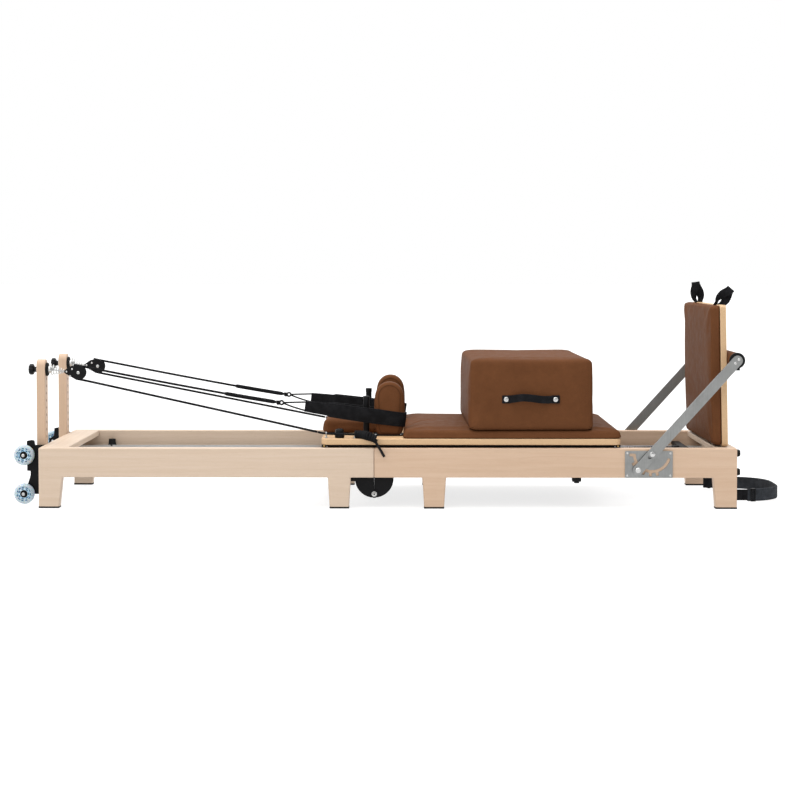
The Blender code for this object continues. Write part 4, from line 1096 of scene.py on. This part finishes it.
# ---- jump board's panel and its two pull loops ----
part = Part("jump_board_ply")
outline = rounded((-BOARD_HALF, 0.0), (BOARD_HALF, BOARD_TALL), 0.012)
rings = []
for through, inset in ((-BOARD_THICK, 0.0012), (-BOARD_THICK + 0.0012, 0), (-0.0012, 0), (0, 0.0012)):
    rings.append(leaned(np.insert(outline(inset), 0, through, axis=1)))
part.loft(rings, ply_up)
part.done("jump_board", replaces=["jump_board_panel"])
part = Part("jump_board_loops")
for sign, tip, tall in ((-1, 40, 0.072), (1, -8, 0.074)):
    lean = radians(tip)
    at = leaned(np.array([-0.0135, sign * 0.197, BOARD_TALL]))
    up, out = np.array([sin(lean), 0, cos(lean)]), np.array([cos(lean), 0, -sin(lean)])
    back = np.array([0, 1.0, 0])
    leg = [(-0.0060, 0, -0.012), (-0.0075, 0, 0.003), (-0.0125, -0.0015, 0.018), (-0.0105, -0.0050, 0.040),
           (-0.0030, -0.0055, 0.060), (0, -0.0040, 0.0705)]
    shape = leg + [(0, 0, 0.0740)] + [(-x, -y, z) for x, y, z in leg[::-1]]
    line = curve([at + out * x + back * y + up * (z * tall / 0.074) for x, y, z in shape], 0.0025)
    high = np.clip((line - at) @ up / (tall * 0.7), 0, 1)
    half_way = np.linspace(-1, 1, len(line)) < 0
    turn = radians(28) + (pi / 2 - radians(28)) * high * high * (3 - 2 * high)
    turn = np.where(half_way, turn, pi - turn)
    ref = out * np.sin(turn)[:, None] + back * np.cos(turn)[:, None]
    part.sweep(line, slab(0.029, 0.0022, 0.001), band, ref=ref)
    side_way, over = frames_of(line, ref=ref)
    for edge in (-0.0120, 0.0120):
        part.stitches(line[4:-4] + side_way[4:-4] * edge + over[4:-4] * 0.0011, over[4:-4], long=0.0028,
                      gap=0.0016)
part.done("jump_board", pieces_slot="webbing")

# ---- foot strap ----
REACH, STRAP_Y, STRAP_MID, STRAP_TALL, BEND = 1.3195, 0.170, 0.027, 0.042, 0.125
part = Part("foot_strap_webbing")
turn = np.linspace(0, pi / 2, 7)
corner = [(REACH - 0.002 - BEND * (1 - cos(a)), STRAP_Y - BEND + BEND * sin(a)) for a in turn]
line = [(1.140, STRAP_Y + 0.002), (1.165, STRAP_Y)] + corner[::-1]
line = [(x, -y, STRAP_MID) for x, y in line] + [(x, y, STRAP_MID) for x, y in line[::-1]]
line = curve(line, 0.005)
part.sweep(line, slab(STRAP_TALL - 0.004, 0.0030, 0.0012), band, ref=UP)
up, out = frames_of(line, ref=UP)
for edge in (-0.0155, 0.0155):
    for face in (-1, 1):
        part.stitches(line + up * edge + out * face * 0.0015, out * face)
pad_line = line[line[:, 0] > REACH - BEND]
ends = np.ones(len(pad_line))
ends[[0, -1]], ends[[1, -2]] = 0.55, 0.85
part.sweep(pad_line, [slab(STRAP_TALL + 0.002, 0.0095 * e, 0.0045) for e in ends], felt, ref=UP)
up, out = frames_of(pad_line, ref=UP)
for edge in (-0.017, 0.017):
    for face in (-1, 1):
        part.stitches(pad_line[1:-1] + up[1:-1] * edge + out[1:-1] * face * 0.0047, out[1:-1] * face,
                      long=0.004, gap=0.002)
strap = part.done("foot_frame", replaces=["foot_strap"])
part = Part("foot_strap_posts")
for side, sign in SIDES:
    y = sign * STRAP_Y
    part.lathe((1.120, y, 0.006), UP, [(0, 0.0055), (0.001, 0.0062), (0.0985, 0.0062), (0.0985, 0)], coat,
               20)
    part.block((1.104, y - 0.014, 0.098), (1.136, y + 0.014, 0.1048), 0.0015, coat)
    eye = [(1.1005, 0), (1.104, 0.0085), (1.116, 0.0115), (1.135, 0.0100), (1.152, 0.0055), (1.168, 0.0030),
           (1.176, 0.0)]
    eye = eye + [(x, -d) for x, d in eye[-2:0:-1]]
    fold = curve([(x, y + d, STRAP_MID) for x, d in eye], 0.003, closed=True)
    part.sweep(fold, slab(STRAP_TALL - 0.005, 0.0030, 0.0012), band, ref=UP, closed=True)
    x = 1.158 if sign > 0 else 1.205                 # the buckle
    for a, b in ((x, x + 0.0040), (x + 0.0135, x + 0.0175)):
        part.block((a, y - 0.0060, 0.0045), (b, y + 0.0060, 0.0495), 0.001, plastic)
    for a, b in ((0.0045, 0.0085), (0.0455, 0.0495)):
        part.block((x + 0.0002, y - 0.0058, a), (x + 0.0173, y + 0.0058, b), 0.001, plastic)
    part.block((x + 0.0065, y - 0.0045, 0.0060), (x + 0.0105, y + 0.0045, 0.0480), 0.001, plastic)
part.done("foot_frame")

# ---- sitting box: seams and a strap handle on each end ----
HANDLE_Z = 0.3705
HANDLE = [(0.340, 0.001, 0), (0.354, 0.0015, 0), (0.372, 0.014, 0.003), (0.400, 0.0225, 0.0072),
          (0.430, 0.0225, 0.0055), (0.460, 0.0165, 0.001), (0.486, 0.011, -0.0005), (0.504, 0.0018, 0),
          (0.520, 0.001, 0)]
tree = tree_of(box)
part = Part("sitting_box_seams")
path = curve(askew(np.insert(box_plan(0.0), 2, BOX_LOW[2] + 0.0055, axis=1)), 0.006, closed=True)
path, _ = laid_on(tree, path, -0.0003)
part.tube(path, 0.0009, hide_seam, 6, closed=True)
part.done("sitting_box", pieces_slot="brown_leather")
for side, sign in SIDES:
    part = Part(f"box_handle_{side}")
    at = askew((0.4257, sign * 0.33, HANDLE_Z))
    face = laid_on(tree, [at])[0][0][1]
    shift = at[0] - 0.4305
    line = curve([(x + shift, face + sign * d, HANDLE_Z + dz) for x, d, dz in HANDLE], 0.004)
    part.sweep(line, slab(0.0255, 0.0030, 0.0012), band, ref=UP)
    up, out = frames_of(line, ref=UP)
    for edge in (-0.0092, 0.0092):
        part.stitches(line + up * edge + out * sign * 0.0014, out, long=0.003, gap=0.0016)
    y0, y1 = sorted((face, face + sign * 0.0045))
    for x in (0.347 + shift, 0.5135 + shift):
        part.block((x - 0.014, y0, HANDLE_Z - 0.0135), (x + 0.014, y1, HANDLE_Z + 0.0135), 0.0015, band)
        part.screw((x, face + sign * 0.0044, HANDLE_Z), (0, sign, 0), 0.0088, 0.0030, drive=0.3)
    part.done("sitting_box", pieces_slot="webbing")

# ---- stage and light ----
g = Graph("floor_pale", 0.7, Specular_IOR_Level=0.1, Emission_Color=(1, 1, 1, 1), Emission_Strength=0.76)
speckle = g.noise(g.coords(), 2.0, 3)
g.done(g.blend(speckle, (0.285, 0.285, 0.285), (0.300, 0.300, 0.300)))
FLOOR = 60                                           # metres, from the middle to each side
ground = bpy.data.meshes.new("floor")
corners = [(FLOOR * x, FLOOR * y, -0.0004) for x, y in ((-1, -1), (1, -1), (1, 1), (-1, 1))]
ground.from_pydata(corners, [], [(0, 1, 2, 3)])
ground.materials.append(g.material)
floor = bpy.data.objects.new("floor", ground)
bpy.context.collection.objects.link(floor)

# A plain white room, brighter overhead and dimmer on the side that the photographer stands on.
world = bpy.data.worlds.new("studio")
world.use_nodes = True
tree = world.node_tree
where = tree.nodes.new("ShaderNodeSeparateXYZ")
tree.links.new(tree.nodes.new("ShaderNodeTexCoord").outputs["Generated"], where.inputs[0])


def room(value, lows, highs):
    node = tree.nodes.new("ShaderNodeMapRange")
    tree.links.new(value, node.inputs["Value"])
    for label, number in zip(("From Min", "From Max", "To Min", "To Max"), (*lows, *highs)):
        node.inputs[label].default_value = number
    return node.outputs[0]


total = tree.nodes.new("ShaderNodeMath")
total.operation = "ADD"
tree.links.new(room(where.outputs[1], (-0.5, 0.15), (0.46, 1.0)), total.inputs[0])
tree.links.new(room(where.outputs[2], (0.25, 0.9), (0.0, 0.5)), total.inputs[1])
tree.links.new(total.outputs[0], tree.nodes["Background"].inputs["Strength"])
tree.nodes["Background"].inputs["Color"].default_value = (1, 1, 1, 1)
bpy.context.scene.world = world


def lamp(name, kind, towards, at=(0, 0, 0), **settings):
    light = bpy.data.lights.new(name, kind)
    for label, value in settings.items():
        setattr(light, label, value)
    made = bpy.data.objects.new(name, light)
    made.location = at
    made.rotation_euler = Vector(towards).to_track_quat("-Z", "Y").to_euler()
    bpy.context.collection.objects.link(made)


lamp("overhead", "SUN", (0.10, 0.12, -1), angle=radians(80), energy=2.4)
lamp("left", "SUN", (0.95, 0.45, -0.8), angle=radians(60), energy=0.75)
lamp("front", "AREA", (1.6, 4.5, -1.9), (-1.6, -4.5, 2.2), shape="RECTANGLE", size=2.6, size_y=1.8,
     energy=32)
lamp("right", "AREA", (-3.5, -0.6, -1.9), (4.0, 0.6, 2.2), shape="RECTANGLE", size=2.0, size_y=2.0,
     energy=30)
bpy.context.scene.view_settings.view_transform = "Standard"
